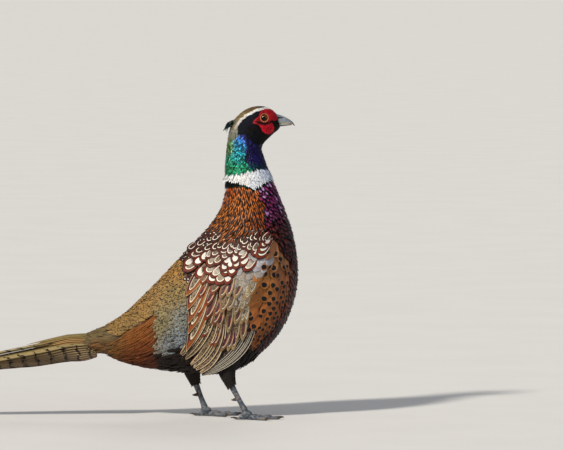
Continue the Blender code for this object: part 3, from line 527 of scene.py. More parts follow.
# The coat: thousands of small feathers over the skin, each a thin closed vane that follows
# the body's curve from its root to just above the coat's face, laid towards the tail like tiles.
def shared_group(name, inputs, outputs, wire):
    """A node group: inputs are (name, default), outputs names; wire(tree, sockets) gives results."""
    group = bpy.data.node_groups.new(name, "ShaderNodeTree")
    for word, default in inputs:
        kind = "NodeSocketFloat" if np.ndim(default) == 0 else "NodeSocketColor"
        group.interface.new_socket(name=word, in_out="INPUT", socket_type=kind).default_value = default
    for word in outputs:
        kind = "NodeSocketColor" if word == "Colour" else "NodeSocketFloat"
        group.interface.new_socket(name=word, in_out="OUTPUT", socket_type=kind)
    source, sink = group.nodes.new("NodeGroupInput"), group.nodes.new("NodeGroupOutput")
    results = wire(group, {word: source.outputs[word] for word, _ in inputs})
    for socket, value in zip(sink.inputs, results):
        group.links.new(value, socket)
    return group


def use(tree, group, **given):
    """Places a shared group in a material with its own values; the words' _ stand for spaces."""
    made = tree.nodes.new("ShaderNodeGroup")
    made.node_tree = group
    for word, value in given.items():
        socket = made.inputs[word.replace("_", " ")]
        if isinstance(value, bpy.types.NodeSocket):
            tree.links.new(value, socket)
        else:
            socket.default_value = value
    return made.outputs


def root_of_squares(tree, a, b):
    """sqrt(a * a + b * b)."""
    return maths(tree, "SQRT", maths(
        tree, "ADD", maths(tree, "MULTIPLY", a, a), maths(tree, "MULTIPLY", b, b)
    ))


def wire_vane(tree, _):
    """Place on a vane: across -1 to 1, along 0 at the root to 1 at the tip, and rim, 0 in the
    middle to 1 at the edge all round the tip; traits are each feather's own luck and marks."""
    place = put(tree, "SeparateXYZ", put(tree, "UVMap", uv_map="vane").outputs[0]).outputs
    across = maths(tree, "MULTIPLY_ADD", place[0], 2.0, -1.0)
    past = maths(tree, "MAXIMUM", maths(tree, "SUBTRACT", place[1], 0.58), 0.0)
    tipward = maths(tree, "MULTIPLY", past, 2.4)
    rim = root_of_squares(tree, across, tipward)
    traits = put(tree, "Attribute", attribute_name="traits").outputs["Color"]
    luck = put(tree, "SeparateColor", traits).outputs
    return across, place[1], rim, luck[0], luck[1], luck[2]


FULL_TURN = 6.2832
vane_place = shared_group("vane_place", (), ("Across", "Along", "Rim", "Luck", "Mark", "Shade"), wire_vane)


def wire_barbs(tree, given):
    """Fine barbs slanting out from the shaft: sin of (along * count - |across| * slant), and the
    shaft itself as a ridge."""
    out = maths(tree, "ABSOLUTE", given["Across"])
    phase = maths(tree, "SUBTRACT", maths(tree, "MULTIPLY", given["Along"], given["Count"]),
                  maths(tree, "MULTIPLY", out, given["Slant"]))
    wave = maths(tree, "SINE", maths(tree, "MULTIPLY", phase, FULL_TURN))
    wave = maths(tree, "MULTIPLY_ADD", wave, 0.5, 0.5)
    shaft = eased(tree, out, 0.1, 0.0)
    return maths(tree, "MULTIPLY_ADD", shaft, 1.5, maths(tree, "MULTIPLY", wave, 0.6)), wave


barb_lines = shared_group(
    "barb_lines", (("Across", 0.0), ("Along", 0.0), ("Count", 22.0), ("Slant", 5.0)),
    ("Height", "Wave"), wire_barbs,
)


def wire_spot(tree, given):
    """An oval mark on the vane: 1 inside (across / wide, (along - centre) / tall), eased out."""
    a = maths(tree, "DIVIDE", given["Across"], given["Wide"])
    b = maths(tree, "DIVIDE", maths(tree, "SUBTRACT", given["Along"], given["Centre"]), given["Tall"])
    reach = root_of_squares(tree, a, b)
    return (maths(tree, "MINIMUM", maths(tree, "MAXIMUM", maths(
        tree, "DIVIDE", maths(tree, "SUBTRACT", 1.0, reach), given["Soft"]
    ), 0.0), 1.0),)


oval_mark = shared_group(
    "oval_mark",
    (("Across", 0.0), ("Along", 0.0), ("Centre", 0.9), ("Wide", 0.4), ("Tall", 0.1), ("Soft", 0.25)),
    ("Mask",), wire_spot,
)


def wire_flecks(tree, given):
    """Dark wavy flecks: noise on the bird's own place, cut at a level."""
    place = own_place(tree)
    noise = put(tree, "TexNoise", place, None, given["Scale"], 2.0, 0.6).outputs[0]
    return (eased(tree, noise, given["Level"], maths(tree, "ADD", given["Level"], 0.06)),)


flecks = shared_group("flecks", (("Scale", 700.0), ("Level", 0.55)), ("Mask",), wire_flecks)


def wire_tone(tree, given):
    """A colour made lighter or darker from feather to feather and in slow drifts over the bird."""
    place = own_place(tree)
    drift = put(tree, "TexNoise", place, None, 55.0, 3.0).outputs[0]
    light = maths(tree, "MULTIPLY",
                  maths(tree, "MULTIPLY_ADD", given["Luck"], given["Spread"], given["Base"]),
                  maths(tree, "MULTIPLY_ADD", drift, 0.5, 0.75))
    return (shaded(tree, given["Tint"], light),)


feather_tone = shared_group(
    "feather_tone", (("Tint", (0.5, 0.5, 0.5, 1)), ("Luck", 0.5), ("Spread", 0.45), ("Base", 0.78)),
    ("Colour",), wire_tone,
)


def feather(mark=None, barbs=20.0, slant=5.0, spread=0.45, root=0.55):
    """A paint for vanes: the ground colour by feather, with painted shade towards the root, where the
    feathers above cover it, and faintly in the grooves between barbs; root is the lightness left at the
    root. Then mark(tree, v, colour) draws on it and may give further sockets; barbs make the relief."""
    def paint(tree):
        v = use(tree, vane_place)
        tint = own_tint(tree)
        colour = use(tree, feather_tone, Tint=tint, Luck=v["Luck"], Spread=spread)["Colour"]
        barb = use(tree, barb_lines, Across=v["Across"], Along=v["Along"], Count=barbs, Slant=slant)
        # Painted shade: darker towards the root, which the feathers above cover, and faintly in the barbs'
        # grooves.
        shade = eased(tree, v["Along"], 0.15, 0.6, root, 1.0)
        shade = maths(tree, "MULTIPLY", shade, maths(tree, "MULTIPLY_ADD", barb["Wave"], 0.16, 0.88))
        colour = shaded(tree, colour, shade)
        painted = {"colour": colour, "height": barb["Height"]}
        if mark:
            result = mark(tree, v, colour)
            painted.update(result if isinstance(result, dict) else {"colour": result})
        return painted
    return paint


def mark_mantle(tree, v, colour):
    """A black teardrop streak on the outer half, and a thin dark edge."""
    drop = use(tree, oval_mark, Across=v["Across"], Along=v["Along"], Centre=0.97,
               Wide=maths(tree, "MULTIPLY_ADD", v["Mark"], 0.3, 0.46), Tall=0.54, Soft=0.1)["Mask"]
    edge = eased(tree, v["Rim"], 0.78, 0.96, 0.0, 0.85)
    return mixed(tree, maths(tree, "MAXIMUM", drop, edge), colour, dye("070405"))


def mark_breast(tree, v, colour):
    """A black edge round the tip, and a painted bright bluish-pink glint on the upper ones."""
    wave = eased(tree, maths(tree, "ADD", v["Rim"], maths(tree, "MULTIPLY", v["Mark"], 0.3)), 0.66, 0.9)
    glint = maths(tree, "MULTIPLY", eased(tree, v["Luck"], 0.62, 0.75), v["Shade"])
    # Painted highlight: a bluish-pink glint on some upper feathers.
    colour = mixed(tree, maths(tree, "MULTIPLY", glint, 0.7), colour, dye("D2AEE8"))
    return mixed(tree, wave, colour, dye("0C040A"))


def mark_flank(tree, v, colour):
    """One round black spot near the tip, on a ground of fine hair-like streaks."""
    spot = use(tree, oval_mark, Across=v["Across"], Along=v["Along"], Centre=0.82, Wide=0.66,
               Tall=0.155, Soft=0.12)["Mask"]
    hair = maths(tree, "SINE", maths(tree, "MULTIPLY", v["Across"], 23.0))
    patch = use(tree, flecks, Scale=150.0, Level=0.5)["Mask"]
    colour = mixed(tree, eased(tree, hair, 0.0, -1.0, 0.0, 0.55), colour, dye("4E260E"))
    colour = mixed(tree, maths(tree, "MULTIPLY", patch, 0.2), colour, dye("5E3418"))
    return mixed(tree, maths(tree, "MULTIPLY", spot, v["Mark"]), colour, dye("040305"))


def mark_saddle(tree, v, colour):
    """A small white dot in a black ring near the tip."""
    ring = use(tree, oval_mark, Across=v["Across"], Along=v["Along"], Centre=0.84, Wide=0.66,
               Tall=0.2, Soft=0.2)["Mask"]
    dot = use(tree, oval_mark, Across=v["Across"], Along=v["Along"], Centre=0.84, Wide=0.42,
              Tall=0.06, Soft=0.3)["Mask"]
    colour = mixed(tree, ring, colour, dye("0A0506"))
    return mixed(tree, maths(tree, "MULTIPLY", dot, v["Mark"]), colour, dye("D8CCBA"))


def mark_rump(tree, v, colour):
    """Black wavy specks, a pale hairy edge and a black dot near the tip."""
    fine = use(tree, flecks, Scale=380.0, Level=0.53)["Mask"]
    edge = eased(tree, v["Rim"], 0.7, 1.0, 0.0, 0.3)
    colour = mixed(tree, edge, colour, dye("A88C58"))
    colour = mixed(tree, maths(tree, "MULTIPLY", fine, 0.85), colour, dye("0B0907"))
    dot = use(tree, oval_mark, Across=v["Across"], Along=v["Along"], Centre=0.86, Wide=0.5,
              Tall=0.11, Soft=0.25)["Mask"]
    return mixed(tree, maths(tree, "MULTIPLY", dot, v["Mark"]), colour, dye("070506"))


def mark_gloss(tree, v, colour):
    """Glossy flecks: a painted gold-green highlight on some tips, some feathers near black, and black at
    every edge.
    """
    # Painted highlight: a gold-green glint on the tips of some feathers.
    tip = eased(tree, v["Along"], 0.7, 0.95)
    tip = maths(tree, "MULTIPLY", tip, eased(tree, v["Luck"], 0.75, 0.9))
    colour = mixed(tree, maths(tree, "MULTIPLY", tip, v["Shade"]), colour, dye("C9C46A"))
    dark = eased(tree, v["Mark"], 0.6, 0.8, 0.0, 0.85)
    edge = eased(tree, v["Rim"], 0.72, 1.0, 0.0, 0.8)
    return mixed(tree, maths(tree, "MAXIMUM", dark, edge), colour, dye("020C0B"))


def mark_throat(tree, v, colour):
    """Near-black feathers, some with a painted violet-blue glint before their tip."""
    # Painted highlight: a violet-blue glint before some tips.
    glint = maths(tree, "MULTIPLY", eased(tree, v["Luck"], 0.55, 0.8), eased(tree, v["Rim"], 0.8, 0.3))
    return mixed(tree, maths(tree, "MULTIPLY", glint, 0.5), colour, dye("3A3494"))


def mark_collar(tree, v, colour):
    """White, with a painted bluish shade between the feathers, towards their roots."""
    return mixed(tree, eased(tree, v["Along"], 0.7, 0.4, 0.0, 0.45), colour, dye("8A94AC"))


def mark_crown(tree, v, colour):
    """A dark shaft line on each small feather, and dusky feathers among them."""
    line = eased(tree, maths(tree, "ABSOLUTE", v["Across"]), 0.62, 0.2, 0.0, 0.8)
    dusky = eased(tree, v["Luck"], 0.55, 0.8, 0.0, 0.75)
    return mixed(tree, maths(tree, "MAXIMUM", line, dusky), colour, dye("1E150C"))


def mark_fringe(tree, v, colour):
    """Hair-like barbs, black between."""
    hair = maths(tree, "SINE", maths(tree, "MULTIPLY", v["Across"], 9.0))
    return mixed(tree, eased(tree, hair, 0.3, -0.5, 0.0, 0.8), colour, dye("0A0503"))


FEATHERS = {  # pitch, width, length, rise, rows, cols, blunt 1 to pointed 0, finish, slot
    "crown": (1.6, 2.1, 6.0, 0.35, 5, 3, 0.35, finish("crown_feathers", feather(mark_crown)), "head"),
    "stripe": (1.3, 1.7, 5.0, 0.5, 5, 3, 0.3,
               finish("brow_stripe_feathers", feather(root=0.8, spread=0.2)), "head"),
    "face": (1.6, 2.4, 5.0, 0.2, 5, 3, 0.5,
             finish("black_face_feathers", feather(), 0.55, Specular_IOR_Level=0.12), "head"),
    "ear": (1.6, 2.0, 5.0, 0.4, 5, 3, 0.4,
            finish("ear_feathers", feather(), 0.6, Specular_IOR_Level=0.12), "head"),
    "nape": (1.7, 2.4, 6.5, 0.4, 5, 3, 0.4, finish("nape_feathers", feather(mark_crown)), "head"),
    "gloss": (2.2, 3.7, 8.0, 0.5, 6, 5, 0.8,
              finish("green_gloss_feathers", feather(mark_gloss, spread=0.8, root=0.2), 0.36,
                     Metallic=0.5), "neck"),
    "throat": (2.3, 3.8, 8.0, 0.4, 6, 3, 0.8,
               finish("indigo_gloss_feathers", feather(mark_throat, spread=1.0, root=0.4), 0.36,
                      Metallic=0.6), "neck"),
    "collar": (2.1, 3.3, 10.0, 1.3, 6, 3, 0.35,
               finish("white_collar_feathers", feather(mark_collar, root=0.9, spread=0.2), 0.7), "neck"),
    "band": (2.6, 4.4, 9.0, 0.7, 6, 3, 0.7,
             finish("dark_band_feathers", feather(), 0.4, Metallic=0.4), "body"),
    "mantle": (5.3, 7.0, 18.0, 0.7, 7, 5, 0.65,
               finish("gold_mantle_feathers", feather(mark_mantle, root=0.3), 0.5), "body"),
    "breast": (4.6, 8.0, 15.0, 0.7, 7, 5, 0.9,
               finish("copper_breast_feathers", feather(mark_breast, spread=0.6), 0.36,
                      Metallic=0.45), "body"),
    "flank": (11.8, 16.5, 30.0, 0.3, 8, 5, 0.85,
              finish("spotted_flank_feathers", feather(mark_flank, 34.0, root=0.85), 0.55), "body"),
    "belly": (6.5, 9.0, 22.0, 1.5, 7, 5, 0.5, finish("belly_feathers", feather(barbs=26.0), 0.75), "body"),
    "saddle": (5.0, 8.0, 16.0, 0.7, 7, 5, 0.9,
               finish("dotted_saddle_feathers", feather(mark_saddle), 0.5), "body"),
    "rump": (4.6, 7.4, 17.0, 0.8, 7, 5, 0.6,
             finish("speckled_rump_feathers", feather(mark_rump, root=0.7), 0.6), "body"),
    "fringe": (3.8, 4.0, 32.0, 2.0, 8, 3, 0.1,
               finish("rust_fringe_feathers", feather(mark_fringe), 0.7), "body"),
    "train": (4.5, 7.0, 24.0, 1.0, 7, 5, 0.5,
              finish("olive_root_feathers", feather(mark_fringe), 0.6), "tail"),
}
EYE_PLACE, BARE_ROUND_EYE = np.array((48.4, 12.3, 450.3)), 8.5
FLANK_TURNS, FLANK_SIZES = (-0.88, -0.45, 0.1), (0.6, 0.92, 1.15)


def vane_faces(rows, cols):
    """One closed vane's quads, and which points lie on its rim in order: an outer sheet rows by
    cols, and an inner one that shares the rim."""
    outer = np.arange(rows * cols).reshape(rows, cols)
    inner = outer.copy()
    inner[1:-1, 1:-1] = rows * cols + np.arange((rows - 2) * (cols - 2)).reshape(rows - 2, cols - 2)
    sheets = []
    for sheet, order in ((outer, (0, 1, 2, 3)), (inner, (3, 2, 1, 0))):
        corners = (sheet[:-1, :-1], sheet[1:, :-1], sheet[1:, 1:], sheet[:-1, 1:])
        sheets.append(np.stack([corners[i] for i in order], -1).reshape(-1, 4))
    rim = np.concatenate([outer[0, :-1], outer[:-1, -1], outer[-1, :0:-1], outer[:0:-1, 0]])
    return np.concatenate(sheets), rim


def vane_piece(name, outer, thick, across, share, tint, traits, bake, material, flip=False):
    """Joins vanes into one mesh. outer is (vanes, rows, cols, xyz); the inner sheet lies thick
    below it along the sheet's normal. across and share place each point on its vane, bake is each
    root's place on the unwrapped skin; a vane's patch there is 0.003 wide."""
    count, rows, cols = outer.shape[:3]
    normal = np.cross(np.gradient(outer, axis=1), np.gradient(outer, axis=2))
    normal /= np.linalg.norm(normal, axis=-1, keepdims=True) + 1e-9
    under = outer - normal * (-thick if flip else thick)
    per_vane = rows * cols + (rows - 2) * (cols - 2)

    def both(values):
        """Values of the outer sheet followed by those of the inner one."""
        size = values.shape[3:]
        lower = values[:, 1:-1, 1:-1]
        return np.concatenate([values.reshape((count, -1) + size), lower.reshape((count, -1) + size)], 1)

    points = np.concatenate(
        [outer.reshape(count, -1, 3), under[:, 1:-1, 1:-1].reshape(count, -1, 3)], 1
    )
    faces, rim = vane_faces(rows, cols)
    faces = faces[:, ::-1] if flip else faces
    quads = (faces[None] + (np.arange(count) * per_vane)[:, None, None]).reshape(-1, 4)
    made = new_mesh(name, points, quads, material)
    place = np.stack(np.broadcast_arrays((across + 1) / 2, share), -1)
    place = np.broadcast_to(place, (count, rows, cols, 2))
    on_vane = both(place)
    patch = np.asarray(bake)[:, None] + (on_vane - 0.5) * 0.003 if np.ndim(bake) == 2 else both(bake)
    for layer, spots in (("vane", on_vane), ("OFBake", patch)):
        uv = spots.reshape(-1, 2)[quads.ravel()]
        made.data.uv_layers.new(name=layer).data.foreach_set("uv", uv.ravel())
    made.data.uv_layers["OFBake"].active = True
    tint = np.broadcast_to(tint if np.ndim(tint) == 4 else tint[:, None, None], (count, rows, cols, 3))
    set_dye(made, "tint", both(tint))
    set_dye(made, "traits", np.repeat(traits[:, None], per_vane, 1))
    place_on_rim = np.full(per_vane, -1)
    place_on_rim[rim] = np.arange(len(rim))
    ends = np.empty(len(made.data.edges) * 2, int)
    made.data.edges.foreach_get("vertices", ends)
    at = place_on_rim[ends.reshape(-1, 2) % per_vane]
    apart = np.abs(at[:, 0] - at[:, 1])
    sharp = (at.min(1) >= 0) & ((apart == 1) | (apart == len(rim) - 1))
    made.data.attributes.new("sharp_edge", "BOOLEAN", "EDGE").data.foreach_set("value", sharp)
    return made


def vane_shape(share, blunt):
    """Half width along a vane, 0 to 1: it swells from the quill as a quarter sine, then rounds off
    (blunt 1) or runs to a point (blunt 0)."""
    swell = 0.3 + 0.7 * np.sin(np.clip(share / 0.5, 0, 1) * math.pi / 2)
    round_end = np.sqrt(np.clip(1 - (np.clip((share - 0.68) / 0.335, 0, 1)) ** 2.2, 0.012, 1))
    point_end = 1 - 0.93 * np.clip((share - 0.35) / 0.65, 0, 1) ** 1.3
    return swell * (blunt * round_end + (1 - blunt) * point_end)


VANE_SHARES = {5: (0, 0.35, 0.65, 0.88, 1), 6: (0, 0.3, 0.55, 0.76, 0.92, 1),
               7: (0, 0.25, 0.47, 0.66, 0.82, 0.94, 1), 8: (0, 0.2, 0.4, 0.57, 0.72, 0.85, 0.95, 1)}
WING_CENTRE, WING_WAY, WING_HALF_LONG, WING_HALF_WIDE = (-3, 213), (-0.6, -0.8), 78, 45
WING_LIFT, WING_SWELL, BARE_UNDER_WING = 1.9, 7.0, 0.8
SCATTER_TRIES, SHOWN_AT = 900000, 0.9


def wing_reach(x, z):
    """How far out in the folded wing a side-view point lies: 0 at its middle, 1 at its rim."""
    dx, dz = x - WING_CENTRE[0], z - WING_CENTRE[1]
    lengthwise = dx * WING_WAY[0] + dz * WING_WAY[1]
    return np.hypot(lengthwise / WING_HALF_LONG, (dz * WING_WAY[0] - dx * WING_WAY[1]) / WING_HALF_WIDE)


def wing_height(x, z):
    """How far the folded wing stands off the body's side, fading out past its rim."""
    reach = wing_reach(x, z)
    near = np.clip((1.35 - reach) / 0.35, 0, 1)
    return WING_LIFT * near * near * (3 - 2 * near) + WING_SWELL * np.sqrt(np.clip(1 - reach ** 2, 0, 1))


def scatter(pitch, lengths, seed):
    """Feather roots over the body: places drawn evenly over the skin, taken from the head back;
    each one taken strikes out those nearer than pitch(kind). A feather is of the kind that rules
    where its tip shows, 0.9 of its length back from the root."""
    draw = np.random.default_rng(seed)
    along = draw.uniform(TAIL_AT + 2, BODY_END - 0.6, SCATTER_TRIES)
    turn = draw.uniform(-math.pi, math.pi, SCATTER_TRIES)
    spot, _, by_along, by_turn = on_body(along, turn)
    x, z = spot[:, 0], spot[:, 2]
    kind = kind_at(x, z, np.cos(turn), along)
    for _ in range(2):
        shown_along = along - SHOWN_AT * lengths[kind]
        shown = on_rings(np.maximum(shown_along, TAIL_AT + 1), turn)
        kind = kind_at(shown[:, 0], shown[:, 2], np.cos(turn), shown_along)
    flank_size = np.interp(np.cos(turn), FLANK_TURNS, FLANK_SIZES)
    apart = pitch[kind] * np.where(kind == KIND["flank"], flank_size, 1.0)
    patch = np.linalg.norm(np.cross(by_along, by_turn), axis=1) / apart ** 2
    kept = draw.uniform(0, 1, len(along)) < patch / np.percentile(patch, 99.5)
    kept &= ~((wing_reach(x, z) < BARE_UNDER_WING) & (np.abs(np.cos(turn)) < 0.62))
    from_eye_place = np.hypot(x - EYE_PLACE[0], z - EYE_PLACE[2])
    kept &= ~((from_eye_place < BARE_ROUND_EYE) & (np.abs(spot[:, 1]) > 5))
    along, turn, kind, spot, apart = (values[kept] for values in (along, turn, kind, spot, apart))
    tree = kdtree.KDTree(len(spot))
    for number, place in enumerate(spot):
        tree.insert(place, number)
    tree.balance()
    free = np.ones(len(spot), bool)
    taken = []
    for number in np.argsort(-(along + draw.normal(0, 0.4, len(along)) * apart)):
        if free[number]:
            taken.append(number)
            for _, near, _ in tree.find_range(spot[number], apart[number]):
                free[near] = False
    return along[taken], turn[taken], kind[taken]


def lay(along, turn, length, width, rise, rows, cols, blunt, draw, swerve=0.09, heading=None):
    """Vanes on the body: (outer sheet, across, share). Each runs from its root against along,
    straight in the surface's own measure; its lift goes from the skin to rise above the coat's
    face as share ** 0.75, less a bow of 9% of its width at the edges."""
    share = np.array(VANE_SHARES[rows])
    across = np.linspace(-1, 1, cols)
    _, normal, by_along, by_turn = on_body(along, turn)
    forward = -by_along / np.linalg.norm(by_along, axis=1, keepdims=True)
    if heading is not None:
        forward = forward + heading
    forward = forward + draw.normal(0, swerve, forward.shape)
    forward -= normal * np.sum(forward * normal, axis=1, keepdims=True)
    forward /= np.linalg.norm(forward, axis=1, keepdims=True)
    sideways = np.cross(normal, forward)
    aa, at = np.sum(by_along ** 2, 1), np.sum(by_along * by_turn, 1)
    tt = np.sum(by_turn ** 2, 1)
    det = aa * tt - at ** 2 + 1e-9

    def steps(way):
        """Changes of along and turn for one millimetre of a way in the surface."""
        wa, wt = np.sum(way * by_along, 1), np.sum(way * by_turn, 1)
        return (wa * tt - wt * at) / det, (wt * aa - wa * at) / det

    fa, ft = steps(forward)
    ga, gt = steps(sideways)
    reach = length[:, None, None] * share[None, :, None]
    side = (width / 2)[:, None, None] * (vane_shape(share, blunt)[:, None] * across)[None]
    a = along[:, None, None] + reach * fa[:, None, None] + side * ga[:, None, None]
    t = turn[:, None, None] + reach * ft[:, None, None] + side * gt[:, None, None]
    spot, out, _, _ = on_body(a, t)
    depth = coat_depth(along)[:, None, None] - 0.2
    rise = np.broadcast_to(rise, along.shape)[:, None, None]
    ruffle = draw.normal(0, 0.36, (len(along), 1, 1)) * np.minimum(rise, 0.9) * share[None, :, None] ** 2
    lift = -depth + (depth + rise) * share[None, :, None] ** 0.75 + ruffle
    lift = lift - 0.09 * width[:, None, None] * vane_shape(share, blunt)[None, :, None] * across ** 2
    roll = draw.normal(0, 0.05, (len(along), 1, 1)) * width[:, None, None]
    lift = lift + roll * across * share[None, :, None]
    c = np.cos(t)
    under_wing = (np.abs(c) < 0.75) & (a < NECK_AT)
    lift = lift + np.where(under_wing, wing_height(spot[..., 0], spot[..., 2]), 0) * np.clip(
        share[None, :, None] * 1.5, 0, 1) ** 2
    return spot + out * lift[..., None], *np.broadcast_arrays(across[None, :], share[:, None])


def bake_place(along, turn):
    """A root's place on the skin unrolled: turn across, along up."""
    around = (turn / (2 * math.pi) + 0.5) % 1.0
    return np.stack([0.01 + 0.98 * around, 0.01 + 0.98 * (along - TAIL_AT) / (BODY_END - TAIL_AT)], -1)


pitches = np.array([FEATHERS[name][0] for name in KINDS])
vane_lengths = np.array([FEATHERS[name][2] for name in KINDS])
root_along, root_turn, root_kind = scatter(pitches, vane_lengths, 11)
draw = np.random.default_rng(12)
for name, (pitch, width, length, rise, rows, cols, blunt, material, slot) in FEATHERS.items():
    here = root_kind == KIND[name]
    along, turn = root_along[here], root_turn[here]
    count = len(along)
    spot, _, _, _ = on_body(along, turn)
    size = draw.uniform(0.86, 1.14, (2, count))
    if name in ("mantle", "breast"):
        size *= np.interp(spot[:, 2], (200, 345), (1.15, 0.8))
    if name == "flank":
        size *= np.interp(np.cos(turn), FLANK_TURNS, FLANK_SIZES) / size ** 0.6
    if name == "collar":
        rise = rise + np.interp(np.cos(turn), (0.3, 0.95), (0, 2.4))
    heading = None
    if name == "fringe":
        heading = np.tile((-0.2, 0.0, -0.9), (count, 1))
    outer, across, share = lay(
        along, turn, length * size[0], width * size[1], rise, rows, cols, blunt, draw, 0.09, heading
    )
    tip = outer[:, -2, cols // 2]
    tint = ground_at(root_kind[here], tip[:, 0], tip[:, 2])
    traits = np.stack([draw.uniform(0, 1, count), draw.uniform(0, 1, count), np.zeros(count)], -1)
    if name == "flank":
        traits[:, 1] = 1.0
    # Which upper breast feathers carry the painted bluish-pink glint.
    if name == "breast":
        traits[:, 2] = np.interp(tip[:, 2], (296, 312), (0, 1)) * (np.cos(turn) > -0.9)
    # How strong the gloss feathers' painted gold-green tip highlight is: most towards the back of the neck.
    if name == "gloss":
        traits[:, 2] = np.interp(tip[:, 0], (-4, 8), (0.85, 0.1))
    if name == "rump":
        traits[:, 1] = np.interp(tip[:, 2], (130, 200), (0.2, 1)) * (traits[:, 1] > 0.3)
    if name == "saddle":
        traits[:, 1] = traits[:, 1] > 0.35
    piece = vane_piece(name + "_feathers", outer, 0.28, across, share, tint, traits,
                       bake_place(along, turn), material)
    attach(piece, "root")


# The folded wings: a firm lens on each side of the body under nine tiers of feathers, from the
# narrow dark primaries low down to the white-centred scapulars, each tier over the one below, and
# a row of spotted flank feathers along the front edge.
WING_DEEPEST, WING_CORE_LIFT, WING_CORE_INSIDE = -0.62, -2.2, -1.0


def over_side(x, z, lift, side):
    """Side-view points laid on the body's side at a lift; low down they hang straight."""
    along, c = place_in_side_view(x, z, 0, NECK_AT)
    spot, normal, _, _ = on_body(along, np.arccos(np.clip(c, WING_DEEPEST, 0.995)))
    return (np.stack([x, spot[..., 1], z], -1) + normal * np.asarray(lift)[..., None]) * (1, side, 1)


def bake_cells(across, share, count):
    """Large feathers each get a cell of their own on the map: side by side in a square of cells."""
    wide = math.ceil(math.sqrt(count))
    number = np.arange(count)[:, None, None]
    return np.stack(np.broadcast_arrays(
        (number % wide + 0.06 + 0.44 * (across + 1)) / wide, (number // wide + 0.06 + 0.88 * share) / wide
    ), -1)


def bent_line(start, middle, end, share):
    """Points and unit ways of a quadratic curve from start to end, pulled towards middle."""
    start, middle, end = (np.asarray(p, float)[:, None] for p in (start, middle, end))
    t = share[None, :, None]
    points = (1 - t) ** 2 * start + 2 * t * (1 - t) * middle + t * t * end
    ways = 2 * (1 - t) * (middle - start) + 2 * t * (end - middle)
    return points, ways / np.linalg.norm(ways, axis=-1, keepdims=True)


def wing_sheet(roots, middles, tips, width, lifts, tilt, blunt, rows, cols, side):
    """Vanes laid over the wing along bent lines in side view. Their lift runs through lifts at
    root, middle and tip, falls by tilt towards the back edge and bows down at both edges."""
    share = np.linspace(0, 1, rows) ** 0.85
    across = np.linspace(-1, 1, cols)
    points, ways = bent_line(roots, middles, tips, share)
    side_way = np.stack([ways[..., 1], -ways[..., 0]], -1)
    half = (np.asarray(width)[:, None] / 2 * vane_shape(share, blunt))[..., None] * across
    x = points[..., 0:1] + side_way[..., 0:1] * half
    z = points[..., 1:2] + side_way[..., 1:2] * half
    lift = smooth_through((0, 0.5, 1), lifts, share).T[:, :, None]
    lift = lift - tilt * across - 0.06 * np.asarray(width)[:, None, None] * across ** 2
    return over_side(x, z, wing_height(x, z) + lift, side), np.broadcast_to(across, half.shape), \
        np.broadcast_to(share[:, None], half.shape)


def rings_of(v, tree, colour, bands):
    """Colours laid in bands from the vane's middle to its rim: each (where it starts, colour)."""
    for start, band in bands:
        colour = mixed(tree, eased(tree, v["Rim"], start - 0.035, start + 0.035), colour, band)
    return colour


def vermiculated(tree, colour, scale, level, strength, dark):
    """Fine dark wavy lines over a colour."""
    specks = use(tree, flecks, Scale=scale, Level=level)["Mask"]
    return mixed(tree, maths(tree, "MULTIPLY", specks, strength), colour, dye(dark))


def mark_scapular(tree, v, colour):
    """A white or speckled centre, a cream ring, a black line and a broad chestnut edge, which is
    nearly black on the upper feathers."""
    speckled = vermiculated(tree, colour, 700.0, 0.5, 0.8, "33261C")
    colour = mixed(tree, v["Mark"], colour, speckled)
    colour = mixed(tree, eased(tree, v["Shade"], 0.25, 0.75), colour, dye("30150B"))
    colour = mixed(tree, eased(tree, v["Along"], 0.3, 0.55, 1.0, 0.0), colour, dye("5A2410"))
    edge = mixed(tree, v["Shade"], dye("6E260C"), dye("3A1408"))
    return rings_of(v, tree, colour, ((0.48, dye("F0E4D0")), (0.6, dye("030202")), (0.69, edge),
                                      (0.98, dye("2A0E06"))))


def mark_tertial(tree, v, colour):
    """Vermiculated middle, a cream V, a black hairline and a broad chestnut edge, maroon inside."""
    colour = vermiculated(tree, colour, 420.0, 0.48, 0.8, "1E1612")
    edge = mixed(tree, eased(tree, v["Across"], 0.1, 0.5), dye("844418"), dye("4A1620"))
    return rings_of(v, tree, colour, ((0.42, dye("E2D2B2")), (0.51, dye("080504")), (0.57, edge),
                                      (0.94, dye("C8AE86")), (1.0, dye("120A08"))))


def mark_streaked(tree, v, colour):
    """A maroon streak with a rust band beside it, vermiculation, a cream line and a dark hairline;
    the edge is chestnut towards the back of the wing."""
    colour = vermiculated(tree, colour, 520.0, 0.5, 0.8, "2A1E16")
    band = use(tree, oval_mark, Across=maths(tree, "ADD", v["Across"], 0.42), Along=v["Along"], Centre=0.74,
               Wide=0.2, Tall=0.3, Soft=0.3)["Mask"]
    colour = mixed(tree, maths(tree, "MULTIPLY", band, v["Mark"]), colour, dye("BC7434"))
    streak = use(tree, oval_mark, Across=v["Across"], Along=v["Along"], Centre=0.76, Wide=0.48,
                 Tall=0.42, Soft=0.2)["Mask"]
    colour = mixed(tree, maths(tree, "MULTIPLY", streak, v["Mark"]), colour, dye("43152A"))
    edge = mixed(tree, v["Shade"], dye("8E7450"), dye("6E2A0E"))
    cream = mixed(tree, eased(tree, v["Across"], 0.35, -0.35), colour, dye("E6D8BC"))
    return rings_of(v, tree, colour, ((0.62, cream), (0.72, dye("120B08")), (0.78, edge)))


def mark_secondary(tree, v, colour):
    """Fawn with dark wavy lines along it, and edges of dark, pale and rust."""
    colour = vermiculated(tree, colour, 420.0, 0.48, 0.85, "281C14")
    out = maths(tree, "ABSOLUTE", v["Across"])
    colour = mixed(tree, eased(tree, out, 0.5, 0.56), colour, dye("C8B48C"))
    colour = mixed(tree, eased(tree, out, 0.7, 0.76), colour, dye("140E0B"))
    return mixed(tree, eased(tree, v["Across"], 0.8, 0.86), colour, dye("8A4A22"))


